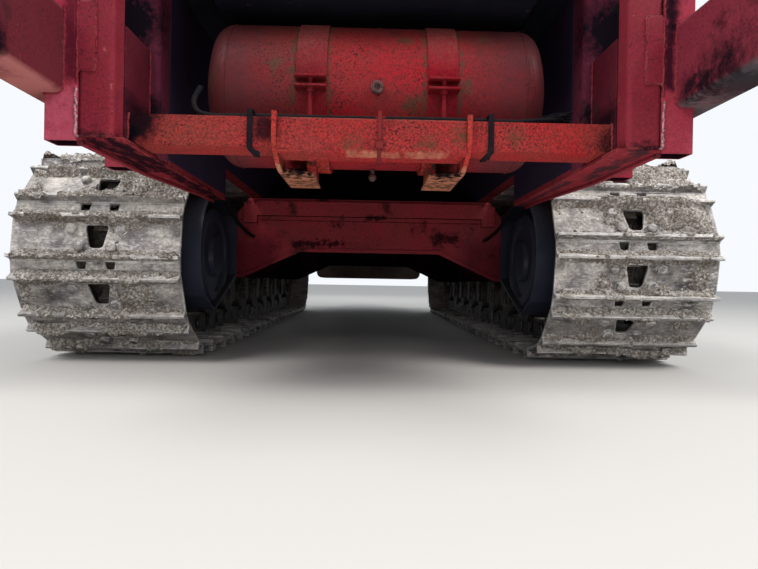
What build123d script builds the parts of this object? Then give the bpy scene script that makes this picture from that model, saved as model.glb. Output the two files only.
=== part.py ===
"""Tracked chassis of a horizontal grinder: two crawler tracks, arched cross beams, and the main frame with its air tank.

Millimetres. X runs across the machine, Y along it, Z up. The origin is on the ground, under the middle of
the tracks. The end with the air tank and the final drives is at -Y. Right means +X.
"""

from build123d import *
from math import atan2, cos, degrees, hypot, pi, sin, sqrt, tan
import os

# Crawler tracks
TRACKS_WIDTH = 2590.0       # over the shoes of both tracks
SHOE_WIDTH = 610.0
PITCH = 182.0               # pin to pin
SHOES = 51                  # on each track
WRAP_SHOES = 11             # shoes that would go once round the sprocket
SEAT = 58.0                 # pin line out to the face that a shoe bolts to
SHOE_PLATE = 12.0
GROUSER = 30.0              # how far the two bars stand up from a shoe
GROUSER_SPAN = 150.0        # from the middle of one bar to the other's
GROUSER_BASE = 20.0
GROUSER_TIP = 12.0
RAIL_DEPTH = 45.0           # pin line in to the face that the rollers run on
RAIL_WIDTH = 45.0
RAIL_GAP = 150.0            # between the two rows of links
LOOP_TURN = {"right": 0.45, "left": 0.96}     # how far, in shoes, each loop has run on

# Clearances
SEAT_GAP = 0.3              # between round faces that meet

# Running gear
SPROCKET_WIDTH = 60.0
TOOTH_REACH = 18.0          # tooth tip beyond the pin circle
PIN_SPACE_R = 36.0          # round space between two teeth
ROLLER_R = 85.0
ROLLER_FLANGE_R = 104.0
ROLLER_FLANGE = 14.0
ROLLERS = 7                 # on each side
ROLLER_STEP = 400.0
CARRIER_R = 75.0
CARRIER_Y = (-720.0, 720.0)
IDLER_FLANGE_R = 290.0
IDLER_SHAFT_R = 54.0
YOKE_FROM_FRAME = 120.0
YOKE_PAST_AXLE = 70.0

# Track frames
BASE_WIDTH = 330.0
BASE_LEDGE = 41.0           # how far the base plate stands out on each side of the box
BASE_PLATE = 24.0
BASE_Z = 340.0              # underside of the base plate
FRAME_SHOULDER_Z = 500.0
FRAME_RIDGE_Z = 545.0
FRAME_RIDGE = 100.0         # width of the flat along the top
FRAME_Y = (-1450.0, 1330.0)

# Final drives and their guards
DRIVE_PLATE = 36.0
DRIVE_PLATE_R = 250.0
GUARD_INSET = 43.0          # inner face, inside the shoes' inner edge
GUARD_WALL = 10.0
GUARD_NEAR = 280.0          # axle to the rounded near side
GUARD_UP = 277.0            # axle to the top
GUARD_DOWN = 232.0          # axle to the lowest point
GUARD_FAR_Y = -1515.0       # upright edge at the far side
GUARD_FAR_Z = (339.0, 640.0)
GUARD_CORNER = 60.0
GUARD_ROUND_Z = 17.0        # its roundest place, above the axle
GUARD_LOW = 75.0            # its lowest point, before the axle
GUARD_SHOULDER = (210.0, 168.0)     # where the round part ends: before and below the axle
MOTOR_R = 205.0
MOTOR_INSET = 13.0          # the motor's casing lies this far inside the guard
MOTOR_GAP = 12.0            # and this far from its wall
HUB_R = 180.0
HUB_FLANGE_R = 235.0
HUB_FLANGE = 34.0
COVER_REACH = 130.0         # the hub's cover, out from the sprocket
DRIVE_NECK = 190.0          # how far the drive's plate runs along the track frame

# Cross beams
BEAM_Y = (-1061.0, 1061.0)
BEAM_DEPTH = 270.0
BEAM_TOP = 768.0
ARCH_Z = 479.0              # underside in the middle
ARCH_HALF = 375.0           # half width of the flat middle
FOOT_Z = 338.0              # underside at the track frames
FOOT_INSET = 5.0            # the sloping part ends this far inside the shoes
BEAM_LIP = 16.0             # how far the bottom plate stands proud
BEAM_PLATE = 20.0
STRIP_X = 605.0             # the bar across each face ends here
STRIP_Z = (96.0, 17.0)      # its bottom and top, below the beam's top
STRIP = 30.0
STRIP_CAP = 72.0            # width of the plate at each end of it
STRIP_CAP_Z = (136.0, 27.0)

# Main frame
FRAME_GAP = 4.0             # between the flanges and the drive guards
FLANGE_WIDTH = 58.0         # of the main beams, between the tracks
END_WIDTH = 108.0           # and at the near end
WEB = 20.0
FLANGE = 20.0
TOP_Z = 1215.0
RAIL_Z = 640.0              # underside of the near end
RAIL_FLANGE = 10.0          # its bottom plate
NEAR_Y = -2926.0
FAR_Y = 3350.0
RAIL_END = 170.0            # beyond the drive's axle
WIDE_END = 376.0            # the near end is wide over this length
GUARD_PASS = 30.0           # and narrow this far before the drive guard
POST = 64.0                 # depth of the near post
POST_INSET = 25.0           # its inner face, outside the main beams'
POST_CORNER = 12.0
SECOND_POST = (216.0, 301.0)    # from the near end
PAD_WIDTH = 41.0            # plate welded on the near post's face, beside the socket
PAD_Z = (804.0, 964.0)
PAD = 4.0
PAD_CORNER = 9.0
GUSSET_TOP = 938.0
GUSSET = 12.0
RIB_STEP = 620.0

# Leg sockets and coupling arms
SOCKET = (76.0, 62.0)       # across and along
SOCKET_WALL = 6.0
SOCKET_TOP = 1080.0
SOCKETS_AT = (-3.0, 299.0)  # from the near end
ARM_WIDTH = 102.0
ARM_HEIGHT = 203.0
ARM_INSET = 31.0            # inner face, outside the sockets' inner wall
ARM_Z = 748.0               # underside
ARM_PAST = 130.0            # it runs on this far beside the near socket
ARM_END_Y = -3350.0
ARM_CORNER = 18.0
PIN_R = 25.5
PIN_BOSS_R = 45.0
PIN_FROM_END = 70.0

# Air tank
TANK_D = 406.0
TANK_SIDE = 176.0           # from the straight part's ends to the main beams
TANK_X = 12.0               # it hangs a little to the right
TANK_FROM_END = 380.0
TANK_Z = 868.0
HEAD_CROWN_R = 406.0
HEAD_KNUCKLE_R = 55.0
STRAP_X = 176.0             # from the tank's middle
STRAP_WIDTH = 82.0
STRAP_THICK = 4.0
LUG_Z = (-8.0, -34.0)       # the two clamp lugs, from the tank's axis
LUG_REACH = 38.0
LUG = 6.0
CLAMP_BOLT_R = 6.0
PORT_R = 17.0
PORT_DROP = 27.0            # the front port, below the tank's axis
DRAIN_R = 12.0
BAR_WIDTH = 100.0
BAR_HEIGHT = 76.0
BAR_BEHIND = 200.0          # from the tank's middle to the bar
BAR_BELOW = 139.0
BAR_WALL = 8.0
BAR_COVER = (8.0, 10.0)     # an angle round the bar between the brackets: in front and below
BRACKET_X = 237.0
BRACKET_PLATE = 12.0
BRACKET_PROUD = 15.0
BRACKET_HORN = 12.0         # how far the hook stands above the bar
BRACKET_SLOPE = 97.0        # length of its sloping front edge
BRACKET_ROUND = (44.0, 150.0)
FOOT_PLATE = 8.0
FOOT_PLATE_BELOW = 248.0    # from the tank's axis
FOOT_PLATE_X = 158.0
FOOT_REACH = 56.0           # from the tank's middle to its far end
TAB = (26.0, 90.0)          # under the tank: across and along
TAB_AT = 99.0               # its front edge, before the tank's middle
SADDLE = 8.0
SADDLE_HALF_ANGLE = 34.0

# Hoses, and the bands that hold the one on the bar
HOSE_R = 7.5
HOSE_FROM_FRONT = 26.0
HOSE_ROUTE = (
    # across, behind the hose's straight run, above it
    (-452.0, 60.0, 92.0),
    (-470.0, 48.0, 50.0),
    (-452.0, 28.0, 14.0),
    (-405.0, 10.0, 0.0),
    (-304.0, 0.0, 0.0),
    (-60.0, 5.0, 0.0),
    (150.0, -3.0, 0.0),
    (298.0, 0.0, 0.0),
    (362.0, 6.0, 0.0),
    (440.0, 22.0, 12.0),
    (512.0, 34.0, 18.0),
)
BAND_X = (-304.0, 298.0)
BAND_WIDTH = 14.0
BAND = 3.0
TIE_X = 19.0
TIE_WIDTH = 10.0
TIE = 2.0
BUCKLE = (18.0, 7.0, 16.0)
DRIVE_HOSE_R = 9.0
DRIVE_HOSE_INSET = 10.0     # its middle, inside the main beams' outer edge
DRIVE_HOSE_Z = (700.0, 590.0, 560.0)

# Trough between the main beams, and the box at the far end
TROUGH_INSET = 80.0         # its upright sides, inside the main beams
TROUGH_SLOPE = (48.0, 72.0)     # across and up
TROUGH_FLOOR_Z = 1111.0
TROUGH_PLATE = 8.0
TROUGH_TOP_Z = 1190.0
TROUGH_FROM_END = 126.0
TROUGH_TO_END = 50.0
FAR_BOX_Y = (2290.0, 2900.0)
FAR_BOX_Z = 369.0
FAR_BOX_CORNER = 60.0
FAR_MEMBER = 120.0

# Worked out from the values above
WRAP_R = PITCH / (2 * sin(pi / WRAP_SHOES))
CENTRES = (SHOES - WRAP_SHOES) * PITCH / 2
AXLE_Z = WRAP_R + SEAT + SHOE_PLATE + GROUSER
TRACK_X = (TRACKS_WIDTH - SHOE_WIDTH) / 2
FLAT_R = WRAP_R * cos(pi / WRAP_SHOES)
RUN_Z = AXLE_Z - WRAP_R + RAIL_DEPTH
FRAME_WIDTH = BASE_WIDTH - 2 * BASE_LEDGE
FRAME_INNER_X = TRACK_X - FRAME_WIDTH / 2
BASE_INNER_X = TRACK_X - BASE_WIDTH / 2
SHOE_INNER_X = TRACKS_WIDTH / 2 - SHOE_WIDTH
GUARD_X = SHOE_INNER_X - GUARD_INSET
FOOT_X = SHOE_INNER_X - FOOT_INSET
FRAME_OUT = GUARD_X - FRAME_GAP
FRAME_IN = FRAME_OUT - FLANGE_WIDTH
END_OUT = FRAME_IN + END_WIDTH
RAIL_END_Y = -CENTRES / 2 - RAIL_END
WIDE_Y = NEAR_Y + WIDE_END
NARROW_Y = -CENTRES / 2 - GUARD_NEAR - GUARD_PASS
POST_IN = FRAME_IN + POST_INSET
SECOND_POST_Y = (NEAR_Y + SECOND_POST[0], NEAR_Y + SECOND_POST[1])
SOCKET_Y = (NEAR_Y + SOCKETS_AT[0], NEAR_Y + SOCKETS_AT[1])
TROUGH_Y = (NEAR_Y + TROUGH_FROM_END, FAR_Y - TROUGH_TO_END)
ARM_X = END_OUT + ARM_INSET
TANK_R = TANK_D / 2
TANK_Y = NEAR_Y + TANK_FROM_END
TANK_HALF = FRAME_IN - TANK_SIDE
BAR_Y = (TANK_Y - BAR_BEHIND - BAR_WIDTH, TANK_Y - BAR_BEHIND)
BAR_Z = (TANK_Z - BAR_BELOW - BAR_HEIGHT, TANK_Z - BAR_BELOW)
FOOT_PLATE_Z = (TANK_Z - FOOT_PLATE_BELOW - FOOT_PLATE, TANK_Z - FOOT_PLATE_BELOW)


def block(x, y, z):
    """A block from three pairs of low and high values."""
    size = [max(pair) - min(pair) for pair in (x, y, z)]
    middle = [(pair[0] + pair[1]) / 2 for pair in (x, y, z)]
    return Pos(*middle) * Box(*size)


def pipe(route, radius):
    """A round rod along a route of points, with every corner rounded as far as its legs allow."""
    bends = []
    for before, corner, after in zip(route, route[1:], route[2:]):
        run_in = Vector(corner) - Vector(before)
        run_out = Vector(after) - Vector(corner)
        turn = pi * run_in.get_angle(run_out) / 180
        bends.append(0.45 * min(run_in.length, run_out.length) / tan(turn / 2))
    path = FilletPolyline(*route, radius=bends)
    start = Plane(origin=path @ 0, z_dir=path % 0)
    return sweep(start * Circle(radius), path=path)


def side_plate(points, x):
    """An outline of (y, z) points, made a plate between the two x values."""
    outline = Plane.YZ.offset(min(x)) * Polyline(*points, close=True)
    return extrude(make_face(outline), amount=max(x) - min(x), dir=(1, 0, 0))


def cross_plate(points, y):
    """An outline of (x, z) points, made a plate between the two y values."""
    face = make_face([Edge.make_line((*a, 0), (*b, 0)) for a, b in zip(points, points[1:] + points[:1])])
    stood = Plane((0, max(y), 0), x_dir=(1, 0, 0), z_dir=(0, -1, 0)) * face
    return extrude(stood, amount=max(y) - min(y), dir=(0, -1, 0))


def turned(points, y, z):
    """A closed outline of (x, radius) points, turned about the line along X at y and z."""
    outline = Plane.XY * Polyline(*points, close=True)
    return Pos(0, y, z) * revolve(make_face(outline), Axis.X)


def both_sides(name, right):
    """Two nodes: the right one and its mirror image."""
    parts[name + "_right"] = right
    parts[name + "_left"] = mirror(right, about=Plane.YZ)


def loop_point(t):
    """Where the pin line is, t links along from the top of the sprocket, as (y, z)."""
    run = (SHOES - WRAP_SHOES) / 2
    wrap = WRAP_SHOES / 2
    t = t % SHOES
    half = CENTRES / 2
    if t < run:
        return -half + t * PITCH, AXLE_Z + WRAP_R
    t -= run
    if t < wrap:
        turn = pi * t / wrap
        return half + WRAP_R * sin(turn), AXLE_Z + WRAP_R * cos(turn)
    t -= wrap
    if t < run:
        return half - t * PITCH, AXLE_Z - WRAP_R
    t -= run
    turn = pi * t / wrap
    return -half - WRAP_R * sin(turn), AXLE_Z - WRAP_R * cos(turn)


def link_frames(run_on):
    """Each link's middle, its direction along the loop and its outward direction, as (y, z) pairs."""
    frames = []
    for number in range(SHOES):
        start = loop_point(number + run_on)
        end = loop_point(number + 1 + run_on)
        length = hypot(end[0] - start[0], end[1] - start[1])
        along = ((end[0] - start[0]) / length, (end[1] - start[1]) / length)
        middle = ((start[0] + end[0]) / 2, (start[1] + end[1]) / 2)
        frames.append((middle, along, (-along[1], along[0])))
    return frames


def loop_outline(section, run_on):
    """Repeats (along, out) points on every link, leaving out those in line with their neighbours."""
    points = []
    for middle, along, out in link_frames(run_on):
        for a, o in section:
            points.append(tuple(middle[i] + a * along[i] + o * out[i] for i in (0, 1)))
    kept = []
    for number, point in enumerate(points):
        before, after = points[number - 1], points[(number + 1) % len(points)]
        turn = (point[0] - before[0]) * (after[1] - point[1]) - (point[1] - before[1]) * (after[0] - point[0])
        if abs(turn) > 1:
            kept.append(point)
    return kept


def track(run_on):
    """One closed loop: the shoes with their two bars, and the two rows of links inside them."""
    bar = GROUSER_SPAN / 2
    top = SEAT + SHOE_PLATE
    tip = top + GROUSER
    shoe = []
    for middle in (-bar, bar):
        shoe += [
            (middle - GROUSER_BASE / 2, top),
            (middle - GROUSER_TIP / 2, tip),
            (middle + GROUSER_TIP / 2, tip),
            (middle + GROUSER_BASE / 2, top),
        ]
    reach = PITCH / 2 - 8
    seat_line = loop_outline([(-reach, SEAT), (reach, SEAT)], run_on)
    reach = (FLAT_R - RAIL_DEPTH) * tan(pi / WRAP_SHOES) - 2
    rail_line = loop_outline([(-reach, -RAIL_DEPTH), (reach, -RAIL_DEPTH)], run_on)
    shoe_x = (TRACK_X - SHOE_WIDTH / 2, TRACK_X + SHOE_WIDTH / 2)
    loop = side_plate(loop_outline(shoe, run_on), shoe_x) - side_plate(seat_line, shoe_x)
    for side in (-1, 1):
        middle = TRACK_X + side * (RAIL_GAP + RAIL_WIDTH) / 2
        rail_x = (middle - RAIL_WIDTH / 2, middle + RAIL_WIDTH / 2)
        loop += side_plate(seat_line, rail_x) - side_plate(rail_line, rail_x)
    return loop


def sprocket(run_on):
    """A toothed ring whose round spaces lie at the chain's pins."""
    y, z = loop_point(int(SHOES - WRAP_SHOES / 4) + run_on)
    start = degrees(atan2(z - AXLE_Z, y + CENTRES / 2))
    face = Circle(WRAP_R + TOOTH_REACH) - Circle(HUB_R + SEAT_GAP)
    for number in range(round(2 * WRAP_SHOES)):
        face -= Rot(0, 0, start + number * 360 / (2 * WRAP_SHOES)) * Pos(WRAP_R, 0) * Circle(PIN_SPACE_R)
    middle = Plane.YZ.offset(TRACK_X - SPROCKET_WIDTH / 2)
    return Pos(0, -CENTRES / 2, AXLE_Z) * extrude(middle * face, amount=SPROCKET_WIDTH)


def final_drive():
    """The hub inside the sprocket, with a flange each side and a stepped cover outside."""
    inner = FRAME_INNER_X
    seat = TRACK_X + SPROCKET_WIDTH / 2
    profile = [
        (inner, 0),
        (inner, HUB_FLANGE_R),
        (inner + HUB_FLANGE, HUB_FLANGE_R),
        (inner + HUB_FLANGE, HUB_R),
        (seat, HUB_R),
        (seat, HUB_FLANGE_R),
        (seat + 26, HUB_FLANGE_R),
        (seat + 30, HUB_R),
        (seat + COVER_REACH - 20, HUB_R - 14),
        (seat + COVER_REACH, HUB_R - 50),
        (seat + COVER_REACH, 0),
    ]
    return turned(profile, -CENTRES / 2, AXLE_Z)


def guard_outline(inset):
    """The guard's side view: round at its near side, a blunt point below, upright at its far side."""
    axle_y = -CENTRES / 2
    near = (axle_y - GUARD_NEAR + inset, AXLE_Z + GUARD_ROUND_Z)
    top = (axle_y, AXLE_Z + GUARD_UP - inset)
    low = (axle_y - GUARD_LOW, AXLE_Z - GUARD_DOWN + inset)
    shoulder = (axle_y - GUARD_SHOULDER[0] + inset * 0.8, AXLE_Z - GUARD_SHOULDER[1] + inset * 0.6)
    far_y = GUARD_FAR_Y - inset
    far_low = GUARD_FAR_Z[0] + inset
    far_high = GUARD_FAR_Z[1] - inset
    with BuildSketch(Plane.YZ.offset(GUARD_X)) as sketch:
        with BuildLine():
            ThreePointArc(top, near, shoulder)
            Polyline(shoulder, low, (far_y, far_low), (far_y, far_high), top)
        make_face()
        lowest = sketch.vertices().sort_by(Axis.Y)[0]       # the sketch's own Y points up
        fillet(lowest, GUARD_CORNER - inset)
    return sketch.sketch


def drive_guard():
    """The bucket round the drive motor, open towards the middle of the machine."""
    depth = FRAME_INNER_X - DRIVE_PLATE - GUARD_X
    shell = extrude(guard_outline(0), amount=depth, dir=(1, 0, 0))
    return shell - extrude(guard_outline(GUARD_WALL), amount=depth, dir=(1, 0, 0))


def drive_motor():
    """The motor's casing inside the guard, cut off where the guard is, with a ring and a cap on its face."""
    face = GUARD_X + MOTOR_INSET
    back = FRAME_INNER_X - DRIVE_PLATE
    profile = [
        (back, 0),
        (back, MOTOR_R),
        (face + 14, MOTOR_R),
        (face, MOTOR_R - 14),
        (face, MOTOR_R - 50),
        (face + 12, MOTOR_R - 58),
        (face + 12, 90),
        (face - 6, 84),
        (face - 6, 0),
    ]
    room = extrude(guard_outline(GUARD_WALL + MOTOR_GAP), amount=back - GUARD_X, dir=(1, 0, 0))
    return turned(profile, -CENTRES / 2, AXLE_Z) & room


def idler():
    """A wheel with two treads for the links and a flange that runs between them."""
    tread = FLAT_R - RAIL_DEPTH - SEAT_GAP
    half = FRAME_WIDTH / 2
    flange = RAIL_GAP / 2 - 6
    rim = tread - 34
    web = 40
    profile = [
        (-half, 55),
        (-half, 120),
        (-web, 130),
        (-web, rim - 10),
        (-half + 6, rim),
        (-half + 6, tread),
        (-flange, tread),
        (-flange + 14, IDLER_FLANGE_R),
    ]
    profile += [(-x, r) for x, r in reversed(profile)]
    shaft = Pos(0, CENTRES / 2, AXLE_Z) * Rot(0, 90, 0) * Cylinder(IDLER_SHAFT_R, BASE_WIDTH - 20)
    wheel = turned(profile, CENTRES / 2, AXLE_Z)
    return Pos(TRACK_X, 0, 0) * (wheel + shaft)


def idler_yoke():
    """A fork with a bearing block each side of the idler, pushed out by the tensioner's rod."""
    inner, outer = FRAME_WIDTH / 2 + 2, BASE_WIDTH / 2 - 12
    y0, y1 = FRAME_Y[1] + YOKE_FROM_FRAME, CENTRES / 2 + YOKE_PAST_AXLE
    base_top = BASE_Z + BASE_PLATE
    z = (base_top, 2 * AXLE_Z - base_top)
    fork = block((TRACK_X - outer, TRACK_X + outer), (y0, y0 + 60), z)
    bore = Pos(TRACK_X, CENTRES / 2, AXLE_Z) * Rot(0, 90, 0) * Cylinder(IDLER_SHAFT_R + SEAT_GAP, BASE_WIDTH)
    for side in (-1, 1):
        fork += block((TRACK_X + side * inner, TRACK_X + side * outer), (y0 + 60, y1), z)
    rod_y = (FRAME_Y[1] + y0) / 2
    rod = Pos(TRACK_X, rod_y, AXLE_Z) * Rot(90, 0, 0) * Cylinder(45, y0 - FRAME_Y[1])
    return fork - bore + rod


def bottom_rollers():
    """Flanged rollers under the track frame, each held by two end blocks."""
    axis_z = RUN_Z + ROLLER_R + SEAT_GAP
    half = FRAME_WIDTH / 2 + 13
    inner = half - ROLLER_FLANGE
    profile = [
        (-half, 0),
        (-half, ROLLER_FLANGE_R),
        (-inner, ROLLER_FLANGE_R),
        (-inner, ROLLER_R),
        (inner, ROLLER_R),
        (inner, ROLLER_FLANGE_R),
        (half, ROLLER_FLANGE_R),
        (half, 0),
    ]
    rollers = None
    for number in range(ROLLERS):
        y = (number - (ROLLERS - 1) / 2) * ROLLER_STEP
        roller = Pos(TRACK_X, 0, 0) * turned(profile, y, axis_z)
        for side in (-1, 1):
            end = TRACK_X + side * half
            roller += block((end, end + side * 22), (y - 45, y + 45), (axis_z - 35, BASE_Z))
        rollers = roller if rollers is None else rollers + roller
    return rollers


def carrier_rollers():
    """Rollers under the upper run, each on a post from the top of the track frame."""
    axis_z = AXLE_Z + WRAP_R - RAIL_DEPTH - CARRIER_R - SEAT_GAP
    half, gap = FRAME_WIDTH / 2 + 6, 38
    profile = [
        (-half, 0),
        (-half, CARRIER_R),
        (-gap, CARRIER_R),
        (-gap, 30),
        (gap, 30),
        (gap, CARRIER_R),
        (half, CARRIER_R),
        (half, 0),
    ]
    rollers = None
    for y in CARRIER_Y:
        roller = Pos(TRACK_X, 0, 0) * turned(profile, y, axis_z)
        roller += block((TRACK_X - 28, TRACK_X + 28), (y - 45, y + 45), (FRAME_RIDGE_Z, axis_z + 40))
        rollers = roller if rollers is None else rollers + roller
    return rollers


def track_frame():
    """A box with a pitched top, the drive's mounting plate at one end and the idler's guides at the other."""
    half, ridge = FRAME_WIDTH / 2, FRAME_RIDGE / 2
    base_top = BASE_Z + BASE_PLATE
    section = [
        (TRACK_X - half, base_top),
        (TRACK_X + half, base_top),
        (TRACK_X + half, FRAME_SHOULDER_Z),
        (TRACK_X + ridge, FRAME_RIDGE_Z),
        (TRACK_X - ridge, FRAME_RIDGE_Z),
        (TRACK_X - half, FRAME_SHOULDER_Z),
    ]
    frame = cross_plate(section, FRAME_Y)
    base_x = (TRACK_X - BASE_WIDTH / 2, TRACK_X + BASE_WIDTH / 2)
    frame += block(base_x, FRAME_Y, (BASE_Z, base_top))
    for side in (-1, 1):
        edges = (TRACK_X + side * half, TRACK_X + side * BASE_WIDTH / 2)
        frame += block(edges, (FRAME_Y[1], CENTRES / 2 + 90), (BASE_Z, base_top))
    plate_x = (FRAME_INNER_X - DRIVE_PLATE, FRAME_INNER_X)
    neck_y = FRAME_Y[0] + DRIVE_NECK
    round_plate = Plane.YZ.offset(plate_x[0]) * Pos(-CENTRES / 2, AXLE_Z) * Circle(DRIVE_PLATE_R)
    frame += extrude(round_plate, amount=DRIVE_PLATE)
    neck = [
        (-CENTRES / 2, AXLE_Z - DRIVE_PLATE_R + 10),
        (FRAME_Y[0] + 20, BASE_Z),
        (neck_y, BASE_Z),
        (neck_y, FRAME_SHOULDER_Z),
        (FRAME_Y[0] + 20, FRAME_SHOULDER_Z + 40),
        (-CENTRES / 2, AXLE_Z + DRIVE_PLATE_R - 10),
    ]
    frame += side_plate(neck, plate_x)
    for beam_y in BEAM_Y:
        y = (beam_y - BEAM_DEPTH / 2, beam_y + BEAM_DEPTH / 2)
        frame += block((BASE_INNER_X, FRAME_INNER_X), y, (base_top, FRAME_SHOULDER_Z))
    return frame


def cross_beam(middle_y):
    """An arched box between the track frames, with a bottom plate that stands proud as a lip."""
    y = (middle_y - BEAM_DEPTH / 2, middle_y + BEAM_DEPTH / 2)
    lip_y = (y[0] - BEAM_LIP, y[1] + BEAM_LIP)
    arch = [(ARCH_HALF, ARCH_Z), (FOOT_X, FOOT_Z), (BASE_INNER_X, FOOT_Z)]
    top = [(BASE_INNER_X, FRAME_SHOULDER_Z + 40), (FRAME_OUT + 15, BEAM_TOP)]
    outline = arch + top
    outline += [(-x, z) for x, z in reversed(outline)]
    beam = cross_plate(outline, y)
    for lip in (arch, [(-x, z) for x, z in arch]):
        beam += cross_plate(lip + [(x, z + BEAM_PLATE) for x, z in reversed(lip)], lip_y)
    beam += block((-ARCH_HALF, ARCH_HALF), lip_y, (ARCH_Z, ARCH_Z + BEAM_PLATE))
    strip_z = (BEAM_TOP - STRIP_Z[0], BEAM_TOP - STRIP_Z[1])
    cap_z = (BEAM_TOP - STRIP_CAP_Z[0], BEAM_TOP - STRIP_CAP_Z[1])
    for side_y, out in ((y[0], y[0] - STRIP), (y[1], y[1] + STRIP)):
        beam += block((-STRIP_X, STRIP_X), (side_y, out), strip_z)
        for side in (-1, 1):
            beam += block((side * STRIP_X, side * (STRIP_X + STRIP_CAP)), (side_y, out), cap_z)
    return beam


def main_beam():
    """A channel open to the outside: a deep web with flanges and ribs, lower at its near end."""
    web = [
        (SECOND_POST_Y[1], RAIL_Z + RAIL_FLANGE),
        (RAIL_END_Y, RAIL_Z + RAIL_FLANGE),
        (RAIL_END_Y, BEAM_TOP + FLANGE),
        (FAR_Y, BEAM_TOP + FLANGE),
        (FAR_Y, TOP_Z - FLANGE),
        (SECOND_POST_Y[1], TOP_Z - FLANGE),
    ]
    beam = side_plate(web, (FRAME_IN, FRAME_IN + WEB))
    flange = Polyline(
        (FRAME_IN, NEAR_Y),
        (END_OUT, NEAR_Y),
        (END_OUT, WIDE_Y),
        (FRAME_OUT, NARROW_Y),
        (FRAME_OUT, RAIL_END_Y),
        (FRAME_IN, RAIL_END_Y),
        close=True,
    )
    beam += Pos(0, 0, RAIL_Z) * extrude(make_face(flange), amount=RAIL_FLANGE, dir=(0, 0, 1))
    beam += block((FRAME_IN, FRAME_OUT), (RAIL_END_Y, FAR_Y), (BEAM_TOP, BEAM_TOP + FLANGE))
    beam += block((FRAME_IN, FRAME_OUT), (NEAR_Y, FAR_Y), (TOP_Z - FLANGE, TOP_Z))
    beam += block((FRAME_IN, FRAME_OUT), (RAIL_END_Y - 16, RAIL_END_Y), (RAIL_Z, BEAM_TOP + FLANGE))
    count = int((FAR_Y - RAIL_END_Y - 100) / RIB_STEP)
    for number in range(count + 1):
        y = RAIL_END_Y + 60 + number * RIB_STEP
        beam += block((FRAME_IN, FRAME_OUT - 6), (y, y + 14), (BEAM_TOP, TOP_Z - 5))
    beam += block((FRAME_IN, FRAME_OUT), (FAR_Y - 20, FAR_Y), (BEAM_TOP, TOP_Z))
    rib_y = (SOCKET_Y[1] + SOCKET[1] / 2 - GUSSET / 2, SOCKET_Y[1] + SOCKET[1] / 2 + GUSSET / 2)
    beam += block((FRAME_IN, END_OUT), rib_y, (RAIL_Z, GUSSET_TOP))
    return beam


def leg_sockets():
    """Two upright tubes, open at the bottom, on the outside of the end frame."""
    sockets = None
    wall = SOCKET_WALL
    across, along = SOCKET
    for y in SOCKET_Y:
        outer = block((END_OUT, END_OUT + across), (y, y + along), (RAIL_Z, SOCKET_TOP))
        outer = fillet(outer.edges().filter_by(Axis.Z), wall)
        inner_x = (END_OUT + wall, END_OUT + across - wall)
        tube = outer - block(inner_x, (y + wall, y + along - wall), (RAIL_Z - 1, SOCKET_TOP - wall))
        sockets = tube if sockets is None else sockets + tube
    return sockets


def coupling_arm():
    """A rectangular tube with rounded corners that passes the near socket, with a pin bore near its end."""
    start = SOCKET_Y[0] + ARM_PAST
    plane = Plane((ARM_X + ARM_WIDTH / 2, start, ARM_Z + ARM_HEIGHT / 2), x_dir=(1, 0, 0), z_dir=(0, -1, 0))
    arm = extrude(plane * RectangleRounded(ARM_WIDTH, ARM_HEIGHT, ARM_CORNER), amount=start - ARM_END_Y)
    arm -= block((0, END_OUT + SOCKET[0]), (SOCKET_Y[0], start), (ARM_Z - 1, ARM_Z + ARM_HEIGHT + 1))
    pin = Pos(ARM_X + ARM_WIDTH / 2, ARM_END_Y + PIN_FROM_END, ARM_Z + ARM_HEIGHT / 2) * Rot(0, 90, 0)
    arm += pin * Cylinder(PIN_BOSS_R, ARM_WIDTH + 12)
    return arm - pin * Cylinder(PIN_R, ARM_WIDTH + 40)


def post(x, y):
    """An upright tube between the bottom and top flanges, with rounded corners."""
    shape = block(x, y, (RAIL_Z + RAIL_FLANGE, TOP_Z - FLANGE))
    return fillet(shape.edges().filter_by(Axis.Z), POST_CORNER)


def near_post():
    """The post at the near end, with a plate on its face beside the socket."""
    tube = post((POST_IN, END_OUT), (NEAR_Y, NEAR_Y + POST))
    pad = block((END_OUT - PAD_WIDTH, END_OUT), (NEAR_Y - PAD, NEAR_Y + POST_CORNER), PAD_Z)
    pad = fillet(pad.edges().filter_by(Axis.Y), PAD_CORNER)
    return tube + pad


def gusset():
    """The plate between the two posts, in line with the near post's inner face."""
    z = (RAIL_Z + RAIL_FLANGE, GUSSET_TOP)
    return block((POST_IN, POST_IN + GUSSET), (NEAR_Y + POST, SECOND_POST_Y[0]), z)


def air_tank():
    """A round vessel lying across the machine, with dished heads."""
    knuckle_r = TANK_R - HEAD_KNUCKLE_R
    centre = TANK_HALF - sqrt((HEAD_CROWN_R - HEAD_KNUCKLE_R) ** 2 - knuckle_r**2)
    share = HEAD_CROWN_R / (HEAD_CROWN_R - HEAD_KNUCKLE_R)
    meet = (centre + (TANK_HALF - centre) * share, knuckle_r * share)
    apex = centre + HEAD_CROWN_R
    with BuildSketch(Plane.XY) as section:
        with BuildLine():
            Line((0, 0), (0, TANK_R))
            Line((0, TANK_R), (TANK_HALF, TANK_R))
            RadiusArc((TANK_HALF, TANK_R), meet, HEAD_KNUCKLE_R)
            RadiusArc(meet, (apex, 0), HEAD_CROWN_R)
            Line((apex, 0), (0, 0))
        make_face()
    half_tank = revolve(section.sketch, Axis.X)
    tank = half_tank + mirror(half_tank, about=Plane.YZ)
    return Pos(TANK_X, TANK_Y, TANK_Z) * tank


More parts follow.
